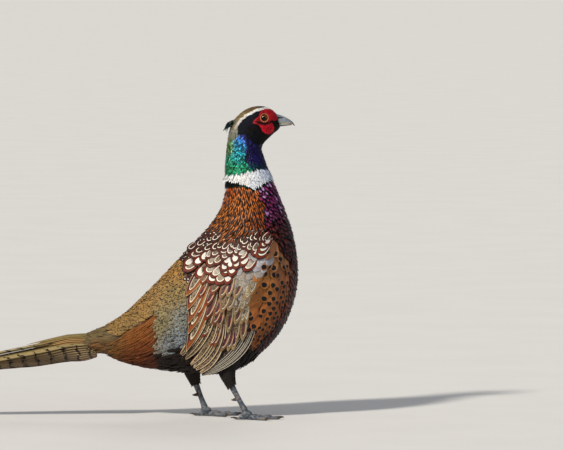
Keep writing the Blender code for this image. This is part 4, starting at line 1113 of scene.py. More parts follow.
def mark_primary(tree, v, colour):
    """Blackish with faint pale bars, and a thin pale line along the front edge."""
    wave = maths(tree, "SINE", maths(tree, "MULTIPLY_ADD", v["Along"], 90.0, maths(
        tree, "MULTIPLY", v["Across"], 2.0)))
    colour = mixed(tree, eased(tree, wave, 0.5, 0.9, 0.0, 0.18), colour, dye("8A7A60"))
    return mixed(tree, eased(tree, v["Across"], -0.74, -0.84), colour, dye("B4AA98"))


def mark_grey(tree, v, colour):
    """Soft grey with a paler edge, and faint speckles in the browner ones."""
    speckled = vermiculated(tree, colour, 420.0, 0.54, 0.35, "4A4038")
    colour = mixed(tree, v["Mark"], colour, speckled)
    return mixed(tree, eased(tree, v["Rim"], 0.75, 1.0, 0.0, 0.22), colour, dye("C8C4C4"))


FLIGHT_TIERS = (  # name, count, root, middle and tip first to last, width, lifts, tilt, blunt, dyes
    ("primaries", 7, (36, 142), (24, 152), (20, 86), (0, 96), (-44, 66.5), (-46, 74), 8.5,
     (-1.5, 0.4, 0.0), 0.8, 0.5, ("141110", "1E1917")),
    ("secondaries", 9, (-12, 170), (-28, 190), (-8, 96), (-44, 140), (-50, 71), (-76, 102), 13,
     (-1.0, 2.2, 1.6), 0.9, 0.55, ("8C7258", "7A624A")),
    ("tertials", 5, (-30, 190), (-34, 236), (-50, 150), (-52, 206), (-66, 104), (-63, 186), 20,
     (0.2, 2.8, 3.4), 0.9, 0.4, ("9C886C", "94806A")),
)
COVERT_TIERS = (  # name, count, line of the tips, slant of the tips, length, width, tip lift, blunt
    ("greater_coverts", 8, ((17, 124), (4, 110), (-12, 106), (-28, 112), (-44, 124)), (6, 30),
     50, 12.5, 3.2, 0.45),
    ("under_coverts", 8, ((22, 147), (5, 141), (-12, 138), (-30, 146), (-48, 158)), (4, 30),
     44, 12.5, 3.9, 0.5),
    ("median_coverts", 8, ((24, 168), (8, 165), (-10, 164), (-28, 170), (-47, 180)), (8, 30),
     38, 12.5, 4.5, 0.55),
    ("upper_coverts", 7, ((27, 189), (12, 187), (-5, 187), (-22, 191), (-42, 201)), (14, 34),
     34, 12.5, 5.0, 0.6),
)
LESSER_ROWS, LESSER_ACROSS = 9, 8
WING_FRONT = ((130, 155, 186, 208, 230, 241, 257), (33, 27, 25, 36, 48, 54.6, 43))
SCAPULAR_FOOT = ((46.5, 261), (40, 252), (31, 239), (17, 224), (2, 215), (-7, 206), (-23.5, 203), (-40, 208),
                 (-60, 220), (-74, 222))
SCAPULAR_TOP = ((50, -5, -31, -54, -72), (270, 275, 271, 262, 246))
SCAPULAR_RISES = (0, 11.5, 21.5, 30, 37.5, 44, 50, 56)
SCAPULAR_FRONT, SCAPULAR_LONG, SCAPULAR_WIDE, EDGE_COUNT = 49, 32, 17.5, 10
SCAPULAR_SLANT = ((0, 0.25, 0.5, 0.72, 1), (40, 30, 6, 30, 56))
draw = np.random.default_rng(31)


def wing_piece(name, side, roots, middles, tips, width, lifts, tilt, blunt, rows, cols, tint, traits, paint):
    """One tier of a wing's feathers, given its colours, traits and finish."""
    outer, across, share = wing_sheet(roots, middles, tips, width, lifts, tilt, blunt, rows, cols, side)
    piece = vane_piece(name, outer, 0.35, across, share, tint, traits,
                       bake_cells(across, share, len(roots)), paint, side < 0)
    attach(piece, "root")
    return piece


finishes = {name: finish(name + "_vanes", feather(mark, 60.0, 7.0, 0.3, 0.75), 0.55) for name, mark in (
    ("primaries", mark_primary), ("secondaries", mark_secondary), ("tertials", mark_tertial),
    ("coverts", mark_streaked), ("lesser", mark_grey), ("scapulars", mark_scapular))}
core_finish = finish("wing_core_shade", paint_skin, 0.8)


def hung(tips, slant, length, bend):
    """Roots and middles for tips: each feather rises from its tip at a slant in degrees from
    upright, leaning forward, and by the root at the slant less bend."""
    ways = [np.stack([np.sin(a), np.cos(a)], -1) for a in (np.radians(slant), np.radians(slant - bend))]
    half = np.asarray(length)[:, None] / 2
    middles = tips + ways[0] * half
    return middles + ways[1] * half, middles


for word, side in (("left", 1), ("right", -1)):
    turn = np.linspace(2 * math.pi, 0, 48, endpoint=False)
    reach = np.array((0.05, 0.25, 0.45, 0.62, 0.76, 0.87, 0.95, 0.985))
    t, r = np.meshgrid(turn, reach)
    lengthwise, sideways = WING_HALF_LONG * np.cos(t) * r, WING_HALF_WIDE * np.sin(t) * r
    x = WING_CENTRE[0] + WING_WAY[0] * lengthwise - WING_WAY[1] * sideways
    z = WING_CENTRE[1] + WING_WAY[1] * lengthwise + WING_WAY[0] * sideways
    outer = over_side(x, z, np.maximum(wing_height(x, z) + WING_CORE_LIFT, WING_CORE_INSIDE + 0.4), side)
    inner = over_side(x, z, np.full_like(x, WING_CORE_INSIDE), side)
    core = new_mesh("wing_core_" + word, *capped(np.concatenate([outer, inner[::-1]]), side < 0),
                    core_finish)
    set_dye(core, "tint", np.tile(dye("6A3018"), (len(core.data.vertices), 1)))
    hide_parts("wing_" + word)
    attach(core, "root")
    for name, count, *lines, width, lifts, tilt, blunt, dyes in FLIGHT_TIERS:
        place = np.linspace(0, 1, count)[:, None]
        loose = 0.4 if name == "primaries" else 1.6
        ends = [np.array(a, float) * (1 - place) + np.array(b, float) * place
                + draw.normal(0, loose, (count, 2)) for a, b in zip(lines[::2], lines[1::2])]
        tint = dye(dyes[0]) * (1 - place) + dye(dyes[1]) * place
        lifts = np.stack([np.full(count, v) for v in lifts])
        lifts = lifts + np.linspace(0, 0.8, count) * (name == "tertials")
        traits = np.stack([draw.uniform(0, 1, count) for _ in range(3)], -1)
        wing_piece(name + "_" + word, side, *ends, width * draw.uniform(0.92, 1.08, count), lifts,
                   tilt, blunt, 16, 7, tint, traits, finishes[name])
    for name, count, line, slant, length, width, lift, blunt in COVERT_TIERS:
        place = np.linspace(0, 1, count)
        tips = smooth_through(np.linspace(0, 1, len(line)), np.array(line, float), place)
        tips = tips + draw.normal(0, (1.4, 3.2), (count, 2))
        slants = np.interp(place, (0, 1), slant) + draw.normal(0, 5, count)
        roots, middles = hung(tips, slants, length * draw.uniform(0.88, 1.12, count), 10)
        plain = np.clip((tips[:, 0] - 2) / 12, 0, 1) * (tips[:, 1] > 135)
        streak = (draw.uniform(0, 1, count) < 0.85) * (1 - plain) * draw.uniform(0.7, 1, count)
        chestnut = np.clip((-8 - tips[:, 0]) / 24, 0, 1)
        tint = dye("A0947E")[None] * plain[:, None] + dye("846C52")[None] * (1 - plain[:, None])
        tint = tint * draw.uniform(0.75, 1.35, (count, 1))
        traits = np.stack([draw.uniform(0, 1, count), streak, chestnut], -1)
        lifts = np.stack([np.full(count, -0.5), np.full(count, lift * 0.5), np.full(count, lift)])
        wing_piece(name + "_" + word, side, roots, middles, tips, width * draw.uniform(0.82, 1.15, count),
                   lifts + draw.normal(0, 0.15, count), 0.7, blunt, 14, 7, tint, traits, finishes["coverts"])
    p, q = (v.ravel() for v in np.meshgrid(np.linspace(0, 1, LESSER_ACROSS), np.linspace(0, 1, LESSER_ROWS)))
    p = p + 0.5 / LESSER_ACROSS * (np.round(q * (LESSER_ROWS - 1)) % 2)
    level = 255 - 80 * q
    front = np.stack([np.interp(level, *WING_FRONT) - 1, level], -1)
    back = np.stack([np.interp(q, (0, 0.35, 1), (38, 8, -14)), level - 4], -1)
    tips = front + (back - front) * p[:, None] + draw.normal(0, 1.7, (len(p), 2))
    grey = (q < 0.45)[:, None] * 0.6 + 0.4 * (1 - p[:, None])
    tint = dye("A9A6AE")[None] * grey + dye("978B76")[None] * (1 - grey)
    tint = tint * draw.uniform(0.92, 1.08, (len(p), 1))
    traits = np.stack([draw.uniform(0, 1, len(p)), np.clip(1.4 - 2 * grey[:, 0], 0, 1), 0 * p], -1)
    lifts = np.stack([np.full(len(p), -0.5), np.full(len(p), 1.0), 2.6 - 0.5 * (1 - q)])
    roots, middles = hung(tips, draw.normal(24, 8, len(p)), draw.uniform(15, 21, len(p)), 6)
    wing_piece("lesser_coverts_" + word, side, roots, middles, tips, draw.uniform(9.5, 12.5, len(p)),
               lifts, 0.25, 0.75, 8, 5, tint, traits, finishes["lesser"])
    stops = np.linspace(0, 1, len(SCAPULAR_FOOT))
    rows = []
    for j, risen in enumerate(SCAPULAR_RISES):
        count = 10 + (j > 1)
        p = np.clip((np.arange(count) + 0.5 * (j % 2) + draw.normal(0, 0.12, count)) / (count - 0.5), 0, 1)
        foot = smooth_through(stops, np.array(SCAPULAR_FOOT, float), p)
        tips = foot + np.array([0.3, 0.95]) * risen + draw.normal(0, 1.3, (count, 2))
        ceiling = np.interp(tips[:, 0], SCAPULAR_TOP[0][::-1], SCAPULAR_TOP[1][::-1])
        up = np.clip(risen / (ceiling - foot[:, 1]), 0, 1)
        shown = (tips[:, 1] < ceiling) & (tips[:, 0] < SCAPULAR_FRONT)
        rows.append(np.column_stack([tips, p, np.full(count, j), up])[shown])
    tips_x, tips_z, p, j, up = np.concatenate(rows).T
    slant = np.interp(p, *SCAPULAR_SLANT) + 22 * up * (1 - np.abs(2 * p - 1)) + draw.normal(0, 7, len(p))
    size = draw.uniform(0.88, 1.12, len(p)) * (1.0 - 0.34 * up) * np.interp(p, (0, 0.14), (0.62, 1))
    tips = np.stack([tips_x, tips_z], -1)
    roots, middles = hung(tips, slant, SCAPULAR_LONG * size, -8)
    lifts = np.stack([-0.9 - 0.2 * j, 2.2 - 0.28 * j - 0.9 * up ** 2, 4.4 - 0.36 * j - 1.5 * up ** 2])
    speckled = (draw.uniform(0, 1, len(p)) < 0.25 + 0.3 * p) * draw.uniform(0.6, 1, len(p))
    tint = dye("E6E2DC")[None] * (1 - speckled[:, None]) + dye("9C8668")[None] * speckled[:, None]
    traits = np.stack([draw.uniform(0, 1, len(p)), speckled, np.clip(up * 1.2 - 0.15, 0, 1)], -1)
    wing_piece("scapulars_" + word, side, roots, middles, tips,
               SCAPULAR_WIDE * size * draw.uniform(0.85, 1.1, len(p)),
               lifts + draw.normal(0, 0.12, len(p)), 0.4, 0.95, 10, 7, tint, traits, finishes["scapulars"])
    count = EDGE_COUNT
    level = np.linspace(134, 250, count) + draw.normal(0, 1.5, count)
    tips = np.stack([np.interp(level, *WING_FRONT) - 2.5, level], -1) + draw.normal(0, 1.2, (count, 2))
    roots, middles = hung(tips, draw.normal(34, 5, count), draw.uniform(25, 30, count), 8)
    tint = ground_at(np.full(count, KIND["flank"]), tips[:, 0] + 6, tips[:, 1])
    traits = np.stack([draw.uniform(0, 1, count), (draw.uniform(0, 1, count) < 0.7) * 1.0,
                       np.zeros(count)], -1)
    lifts = np.stack([np.full(count, -1.0), np.full(count, 1.2), np.full(count, 3.0)])
    wing_piece("wing_edge_" + word, side, roots, middles, tips, draw.uniform(13, 16, count), lifts,
               0.3, 0.75, 9, 5, tint, traits, FEATHERS["flank"][7])


# The tail: eighteen long tapering feathers laid like a roof, the middle pair longest and on top,
# with coverts over and under their roots. Each is one arched vane on a shaft, barred across.
TAIL_ROOT, TAIL_FALL, TAIL_LENGTH = (-205.6, 126.5), math.radians(11.5), 482
TAIL_PAIRS, TAIL_PAIR_RATIO, TAIL_WIDTH, TAIL_SINK = 9, 0.85, 24, 7.0
TAIL_BAR_STEP, TAIL_COVERTS = 20.5, 13
TAIL_STOPS = (0, 0.12, 0.45, 0.85, 1.0)
TAIL_WIDE = np.array(((0.5,), (1.0,), (0.92,), (0.5,), (0.1,)))


def tail_sheet(side, aside, up, slope, width, length, sink, rows, cols, bow, curve):
    """Vanes from the tail's root: each lies back along the tail's fall, its inner edge aside and
    up from the upper line, sloping down outwards; it arches by bow across and droops by curve."""
    side, aside, up, slope, width, length, sink, bow, curve = (
        np.broadcast_to(np.asarray(v, float), np.shape(aside))[:, None, None]
        for v in (side, aside, up, slope, width, length, sink, bow, curve)
    )
    share = np.linspace(0, 1, rows)[None, :, None]
    across = np.linspace(-1, 1, cols)[None, None, :]
    wide = width * smooth_through(TAIL_STOPS, TAIL_WIDE, share[0, :, 0])[None]
    reach = 4 + (length - 4) * share
    sunk = sink * np.clip(1 - reach / 42, 0, 1)
    out = (width - wide) * 0.4 + wide * (across + 1) / 2
    lift = bow * (1 - across ** 2) * wide / width - curve * share ** 2
    y = aside - np.abs(sunk) * aside / 20 + out * np.cos(slope) + lift * np.sin(slope)
    level = up - sunk - out * np.sin(slope) + lift * np.cos(slope)
    x = TAIL_ROOT[0] - reach * math.cos(TAIL_FALL) - level * math.sin(TAIL_FALL)
    z = TAIL_ROOT[1] - reach * math.sin(TAIL_FALL) + level * math.cos(TAIL_FALL)
    outer = np.stack(np.broadcast_arrays(x, y * np.where(side < 0, -1, 1), z), -1)
    return outer, np.broadcast_to(across, outer.shape[:3]), np.broadcast_to(share, outer.shape[:3])


def mark_tail(tree, v, colour):
    """Slanting black bars in step along both webs, broken at the shaft, and a dusky red fringe."""
    out = maths(tree, "ABSOLUTE", v["Across"])
    wobble = put(tree, "TexNoise", own_place(tree), None, 90.0).outputs[0]
    place = maths(tree, "ADD", maths(tree, "MULTIPLY", v["Along"], v["Shade"]), maths(
        tree, "MULTIPLY_ADD", out, 0.55, maths(tree, "MULTIPLY", wobble, 0.9)))
    wave = maths(tree, "SINE", maths(tree, "MULTIPLY", place, FULL_TURN))
    bar = maths(tree, "MULTIPLY", eased(tree, wave, 0.78, 0.92), eased(tree, out, 0.1, 0.4, 0.1, 1.0))
    broken = put(tree, "TexNoise", own_place(tree), None, 260.0).outputs[0]
    bar = maths(tree, "MULTIPLY", bar, eased(tree, broken, 0.36, 0.46, 0.25, 1.0))
    specks = use(tree, flecks, Scale=330.0, Level=0.57)["Mask"]
    colour = mixed(tree, maths(tree, "MULTIPLY", specks, 0.3), colour, dye("4A3A24"))
    colour = mixed(tree, eased(tree, out, 0.78, 0.96, 0.0, 0.85), colour, dye("2A1C12"))
    shaft = eased(tree, out, 0.09, 0.03)
    colour = mixed(tree, bar, colour, dye("0F0B09"))
    return mixed(tree, shaft, colour, dye("2A1E14"))


tail_finish = finish("barred_tail_vanes", feather(mark_tail, 240.0, 9.0, 0.25, 0.9), 0.55)
pair = np.repeat(np.arange(TAIL_PAIRS), 2).astype(float)
hand = np.tile((1.0, -1.0), TAIL_PAIRS)
first = pair == 0
aside = np.where(first, -TAIL_WIDTH / 2 + np.where(hand > 0, 1.2, 0), 0.6 + 0.55 * pair)
draw = np.random.default_rng(41)
outer, across, share = tail_sheet(
    hand, aside, np.where(first, np.where(hand > 0, 0.0, -1.9), -1.7 - 2.2 * pair),
    np.radians(np.where(first, 0, 15 + 4.5 * pair)),
    np.where(first, TAIL_WIDTH, TAIL_WIDTH * (0.95 - 0.03 * pair)),
    np.where(first & (hand < 0), TAIL_LENGTH - 14, TAIL_LENGTH * TAIL_PAIR_RATIO ** pair),
    TAIL_SINK, 44, 9, 1.4, 0.0,
)
flip = hand < 0
tint = np.array([dye(c) for c in ("A89868", "A08C5E", "A88E64", "AE946C", "B0966E", "AC926C", "A48A64",
                                  "9A805E", "907656")])[pair.astype(int)]
for word, here in (("left", ~flip), ("right", flip)):
    count = here.sum()
    length = TAIL_LENGTH * TAIL_PAIR_RATIO ** pair[here]
    traits = np.stack([draw.uniform(0.2, 0.8, count), np.ones(count), length / TAIL_BAR_STEP], -1)
    piece = vane_piece("tail_vanes_" + word, outer[here], 0.5, across[here], share[here], tint[here], traits,
                       bake_cells(across[here], share[here], count), tail_finish, word == "right")
    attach(piece, "root")
    if word == "left":
        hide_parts("tail")
covert_finish = finish("tail_covert_vanes", feather(mark_fringe, 60.0, 7.0, 0.5, 0.8), 0.65)
for word, hand in (("left", 1.0), ("right", -1.0)):
    count = TAIL_COVERTS
    step = np.linspace(0, 1, count)
    outer, across, share = tail_sheet(
        np.full(count, hand), 0.5 + 13 * np.sin(step * 1.5), 6.5 - 26 * step ** 1.5,
        np.radians(12 + 74 * step), 8.5, draw.uniform(60, 112, count) * (1 - 0.35 * step), 6.0, 16, 5,
        0.8, 2.0,
    )
    tint = dye("93804E")[None] * (1 - step[:, None]) + dye("A65E22")[None] * step[:, None]
    traits = np.stack([draw.uniform(0, 1, count), np.ones(count), np.zeros(count)], -1)
    piece = vane_piece("tail_coverts_" + word, outer, 0.35, across, share, tint, traits,
                       bake_cells(across, share, count), covert_finish, hand < 0)
    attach(piece, "root")


# The eyes: glossy balls with an amber iris round a black pupil, set into the head so that the lids
# close round them.
EYE_RADIUS, PUPIL_RADIUS, IRIS_RADIUS = 6.5, 3.0, 4.6


def from_eye(tree):
    """Distance in millimetres from the eye's axis, which runs across the bird."""
    centre = (EYE_PLACE + SHIFT) / 1000
    place = put(tree, "SeparateXYZ", own_place(tree)).outputs
    dx, dz = (maths(tree, "SUBTRACT", place[i], centre[i]) for i in (0, 2))
    return maths(tree, "MULTIPLY", root_of_squares(tree, dx, dz), 1000.0), dx, dz


def paint_eye(tree):
    """Black pupil, amber iris with fine rays and a dark rim, then dark skin."""
    reach, dx, dz = from_eye(tree)
    angle = maths(tree, "ARCTAN2", dz, dx)
    rays = maths(tree, "MULTIPLY_ADD", maths(tree, "SINE", maths(tree, "MULTIPLY", angle, 46.0)), 0.5, 0.5)
    amber = mixed(tree, rays, dye("5E2C0C"), dye("9A5216"))
    amber = mixed(tree, eased(tree, reach, PUPIL_RADIUS, IRIS_RADIUS, 0.0, 0.6), amber, dye("3A1A08"))
    colour = mixed(tree, eased(tree, reach, PUPIL_RADIUS + 0.2, PUPIL_RADIUS - 0.1), amber, dye("020203"))
    return {"colour": mixed(tree, eased(tree, reach, IRIS_RADIUS - 0.15, IRIS_RADIUS + 0.25), colour,
                            dye("080404"))}


def turned_ring(centre, side, radii, outs):
    """Rings about an axis across the bird: at each step a circle of a radius, so far out along y."""
    turn = np.linspace(2 * math.pi, 0, 48, endpoint=False)
    radii, outs = np.asarray(radii)[:, None], np.asarray(outs)[:, None]
    rings = np.stack(np.broadcast_arrays(
        centre[0] + radii * np.cos(turn), centre[1] + outs, centre[2] + radii * np.sin(turn)), -1)
    return rings * (1, side, 1)


eye_finish = finish("amber_eye", paint_eye, 0.05, IOR=1.3, Specular_IOR_Level=0.5)
for word, side in (("left", 1), ("right", -1)):
    polar = np.linspace(0.06, math.pi - 0.06, 26)[::-1]
    ball = turned_ring(EYE_PLACE, side, EYE_RADIUS * np.sin(polar), EYE_RADIUS * np.cos(polar))
    eye = new_mesh("eyeball_" + word, *capped(ball, side < 0), eye_finish)
    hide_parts("eye_" + word)
    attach(eye, "root")


# The wattles: bare warty skin round each eye in two lobes, the upper deep red and arched over the
# brow, the lower bright at its rim, parted by lines of tiny black feathers under the eye. The lid
# is a ring of the same skin, paler, along the opening.
WATTLE_REACH = (  # degrees round the eye from ahead, and how far out the rim lies
    (-157, 18.5), (-135, 13.5), (-111, 15.0), (-92, 21.5), (-72, 24.0), (-46, 20.5), (-26, 12.0),
    (-10, 18.0), (20, 16.5), (63, 14.0), (100, 11.5), (135, 9.6), (168, 9.0),
)
WATTLE_INNER, WATTLE_THICKNESS, LID_THICKNESS = 6.0, 2.4, 0.8
WART_COUNT, WART_SIZE, LOBES_PART = 900, 0.55, 443.5
SLIT_PATH = ((33.5, 444.4), (38.5, 444.0), (43, 442.8), (50, 441.8), (56, 443.2), (60, 445.6), (67, 443.0))


def warts(x, z, count, size, seed):
    """Small round warts: the highest of exp(-(distance / size) ** 2) over scattered centres."""
    pick = np.random.default_rng(seed)
    cx = pick.uniform(x.min(), x.max(), count)
    cz = pick.uniform(z.min(), z.max(), count)
    far = (x[..., None] - cx) ** 2 + (z[..., None] - cz) ** 2
    return np.exp(-far.min(-1) / size ** 2)


def wrapped_faces(rows, cols):
    """Quads of a grid closed both ways, as on a ring."""
    r, c = np.meshgrid(np.arange(rows), np.arange(cols), indexing="ij")
    a, b = r * cols + c, r * cols + (c + 1) % cols
    a2, b2 = ((r + 1) % rows) * cols + c, ((r + 1) % rows) * cols + (c + 1) % cols
    return np.stack([a, a2, b2, b], -1).reshape(-1, 4)


def paint_wattle(tree):
    """The skin's red by place, nearly black between its warts and in dusky streaks."""
    place = own_place(tree)
    cell = put(tree, "TexVoronoi", place, None, 1150.0).outputs["Distance"]
    dusk = put(tree, "TexNoise", place, None, 330.0, 3.0).outputs[0]
    tint = own_tint(tree)
    gaps = maths(tree, "MAXIMUM", eased(tree, cell, 0.34, 0.66, 0.0, 0.75),
                 eased(tree, dusk, 0.52, 0.68, 0.0, 0.6))
    return {"colour": mixed(tree, gaps, tint, dye("1E0206")), "height": maths(tree, "SUBTRACT", 1.0, cell)}


def wattle_spot(around, across, high):
    """Points of the wattle by angle and share from lid to rim, high above the head's outer face."""
    angles = np.array([a for a, _ in WATTLE_REACH] + [WATTLE_REACH[0][0] + 360], float)
    reaches = np.array([r for _, r in WATTLE_REACH] + [WATTLE_REACH[0][1]], float)[:, None]
    reach = np.maximum(smooth_through(angles, reaches, around)[..., 0], WATTLE_INNER + 2.4)
    radius = WATTLE_INNER + (reach - WATTLE_INNER) * across
    x = EYE_PLACE[0] + radius * np.cos(np.radians(around))
    z = EYE_PLACE[2] + radius * np.sin(np.radians(around))
    along, c = place_in_side_view(x, z, HEAD_AT, BODY_END)
    spot, normal, _, _ = on_body(along, np.arccos(np.clip(c, -0.97, 0.97)))
    return spot + normal * np.asarray(high)[..., None], x, z


around = np.linspace(203, -157, 150, endpoint=False)
across = np.linspace(0, 1, 26)
a, s = np.meshgrid(around, across)
_, x, z = wattle_spot(a, s, np.zeros_like(a))
swell = np.sin(math.pi * np.clip(s * 0.8 + 0.15, 0, 1)) ** 0.6
from_slit, _ = near_path(x, z, SLIT_PATH)
slit_half = np.interp(x, (34, 40, 50, 60, 67), (0.6, 3.0, 2.4, 1.4, 1.2))
groove = np.exp(-(from_slit / (slit_half + 0.3)) ** 2)
fold = 0.25 * np.sin(7 * np.radians(a)) * np.sin(math.pi * s)
high = 1.2 + (WATTLE_THICKNESS - 0.9) * swell + fold
high = high + 0.42 * warts(x, z, WART_COUNT, WART_SIZE, 6) * swell - 1.6 * groove
outer, _, _ = wattle_spot(a, s, high)
inner, _, _ = wattle_spot(a[::-1][::5], s[::-1][::5], np.full_like(a[::5], -0.6))
lower = np.clip((LOBES_PART - z) / 2.0, 0, 1)[..., None]
rim = np.clip((s - 0.66) / 0.2, 0, 1)[..., None]
red = (dye("A80C1C") * (1 - rim) + dye("B41020") * rim) * (1 - lower) + (
    dye("C00E24") * (1 - rim) + dye("F01C30") * rim) * lower
red = red * (1 - np.clip(1.3 - from_slit / (slit_half + 0.1), 0, 1)[..., None] * 0.985)
back_tip = np.clip((38 - x) / 4, 0, 1)[..., None]
red = red * (1 - back_tip) + dye("B82C38") * back_tip
wattle_finish = finish("warty_red_skin", paint_wattle, 0.55, 0.6, 0.0004, Specular_IOR_Level=0.1)
lid_turn = np.linspace(0, 2 * math.pi, 12, endpoint=False)
lid_middle, _, _ = wattle_spot(around, np.zeros_like(around), np.full_like(around, 2.2))
lid_out = (lid_middle - EYE_PLACE) * (1, 0, 1)
lid_out /= np.linalg.norm(lid_out, axis=-1, keepdims=True)
for word, side in (("left", 1), ("right", -1)):
    rings = np.concatenate([outer, inner]) * (1, side, 1)
    faces = wrapped_faces(*rings.shape[:2])
    wattle = new_mesh("wattle_skin_" + word, rings, faces[:, ::-1] if side < 0 else faces, wattle_finish)
    set_dye(wattle, "tint", np.concatenate([red, np.tile(dye("8A0C18"), inner.shape[:2] + (1,))]))
    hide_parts("wattle_" + word)
    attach(wattle, "root")
    section = (np.cos(lid_turn)[:, None, None] * lid_out
               + np.sin(lid_turn)[:, None, None] * np.array((0, 1.0, 0)))
    bead = 1 + 0.3 * np.sin(np.radians(around) * 38)[None, :, None]
    rings = (lid_middle - lid_out * 0.5 + LID_THICKNESS * bead * section) * (1, side, 1)
    faces = wrapped_faces(*rings.shape[:2])
    lid = new_mesh("lid_" + word, rings, faces if side < 0 else faces[:, ::-1], wattle_finish)
    set_dye(lid, "tint", np.tile(dye("DE8660"), (len(lid.data.vertices), 1)))
    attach(lid, "root")


# The bill: two horny halves, the upper arched with a hooked tip and a nostril under a soft flap,
# the lower flat along the mouth; pale blue-grey with cream cutting edges, a dusky tip, and painted
# shadow over the lower half.
UPPER_BILL = (
    (60, 455.5, 65, 442, 5.8), (66.4, 456.4, 71.5, 441.6, 6.6), (67.9, 456.2, 72.5, 441.9, 6.3),
    (73.3, 454.6, 75.8, 441.8, 5.7),
    (79.8, 451.8, 80.3, 441.7, 4.8), (86.3, 448, 85.8, 441.6, 3.6), (91.3, 443.8, 90.3, 440.8, 2.3),
    (94.2, 438.9, 93.5, 438.2, 0.8),
)
LOWER_BILL = (
    (66, 442.4, 66, 437.4, 5.0), (70.5, 442.4, 70.5, 437.4, 5.4), (72.6, 442.4, 72.8, 437.3, 5.2),
    (78.3, 442.3, 77.8, 438.0, 4.4), (84.3, 442.1, 83.8, 438.7, 3.1), (89.6, 440.9, 89.3, 439.4, 1.0),
)
NOSTRIL_PLACE, NOSTRIL_SIZE = (75.0, 450.2), (3.4, 1.25)


def bill_rings(sections, arch, steps, sides):
    """Sections of half a bill: rise goes as (1 + cos) / 2 on the arched side and is pressed flat on
    the mouth's side; width goes as |sin| ** 0.8."""
    ring = smooth_through(np.arange(len(sections)), np.array(sections, float),
                          np.linspace(0, len(sections) - 1, steps))[:, None]
    turn = np.linspace(0, 2 * math.pi, sides, endpoint=False)[None]
    c, s = np.cos(turn), np.sin(turn)
    rise = np.where(arch * c < 0, 0.5 + 0.5 * np.sign(c) * np.abs(c) ** 0.35, (c + 1) / 2)
    x = ring[..., 2] + (ring[..., 0] - ring[..., 2]) * rise
    z = ring[..., 3] + (ring[..., 1] - ring[..., 3]) * rise
    return np.stack([x, ring[..., 4] * np.sign(s) * np.abs(s) ** 0.8, z], -1)


def paint_bill(tree):
    """Blue-grey horn with lengthwise grain, cream towards the mouth, painted shadow over the lower bill,
    dusky at the tip.
    """
    place = own_place(tree)
    axes = put(tree, "SeparateXYZ", place).outputs
    ahead = maths(tree, "MULTIPLY_ADD", axes[0], 1000.0, -float(SHIFT[0]))
    level = maths(tree, "MULTIPLY", axes[2], 1000.0)
    grain_place = put(tree, "Mapping", place, None, None, (0.25, 1.0, 2.2)).outputs[0]
    grain = put(tree, "TexNoise", grain_place, None, 900.0, 4.0).outputs[0]
    colour = mixed(tree, eased(tree, grain, 0.35, 0.65), dye("555E68"), dye("8D949A"))
    cutting = maths(tree, "MULTIPLY", eased(tree, level, 444.8, 442.2), eased(tree, level, 440.2, 441.2))
    colour = mixed(tree, maths(tree, "MULTIPLY", cutting, 0.85), colour, dye("B4A88E"))
    # Painted shadow: the lower bill darkened below the line of the mouth.
    colour = mixed(tree, eased(tree, level, 440.6, 438.8, 0.0, 0.75), colour, dye("3A3836"))
    colour = mixed(tree, eased(tree, ahead, 84.0, 93.0, 0.0, 0.85), colour, dye("2E2C2C"))
    colour = mixed(tree, eased(tree, level, 450.5, 455.0, 0.0, 0.6), colour, dye("3E474F"))
    aside = maths(tree, "ABSOLUTE", maths(tree, "SUBTRACT", level, 450.6))
    wedge = maths(tree, "MULTIPLY_ADD", ahead, 0.22, -17.1)
    bristle = maths(tree, "MULTIPLY_ADD", grain, 1.6, maths(tree, "ADD", aside, wedge))
    return {"colour": mixed(tree, eased(tree, bristle, 1.0, 0.5), colour, dye("040405")), "height": grain}


horn_finish = finish("pale_bill_horn", paint_bill, 0.34, 0.3, 0.0003, Specular_IOR_Level=0.5)
for name, sections, arch in (("bill_upper", UPPER_BILL, 1), ("bill_lower", LOWER_BILL, -1)):
    rings = bill_rings(sections, arch, 60, 48)
    if arch > 0:
        far = np.hypot((rings[..., 0] - NOSTRIL_PLACE[0]) / NOSTRIL_SIZE[0],
                       (rings[..., 2] - NOSTRIL_PLACE[1]) / NOSTRIL_SIZE[1])
        rings[..., 1] *= 1 - 0.32 * np.exp(-far ** 4) + 0.1 * np.exp(-(far - 1.6) ** 2 * 5) * (
            rings[..., 2] > NOSTRIL_PLACE[1])
    half = new_mesh(name + "_horn", *capped(rings), horn_finish)
    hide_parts(name)
    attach(half, "root")


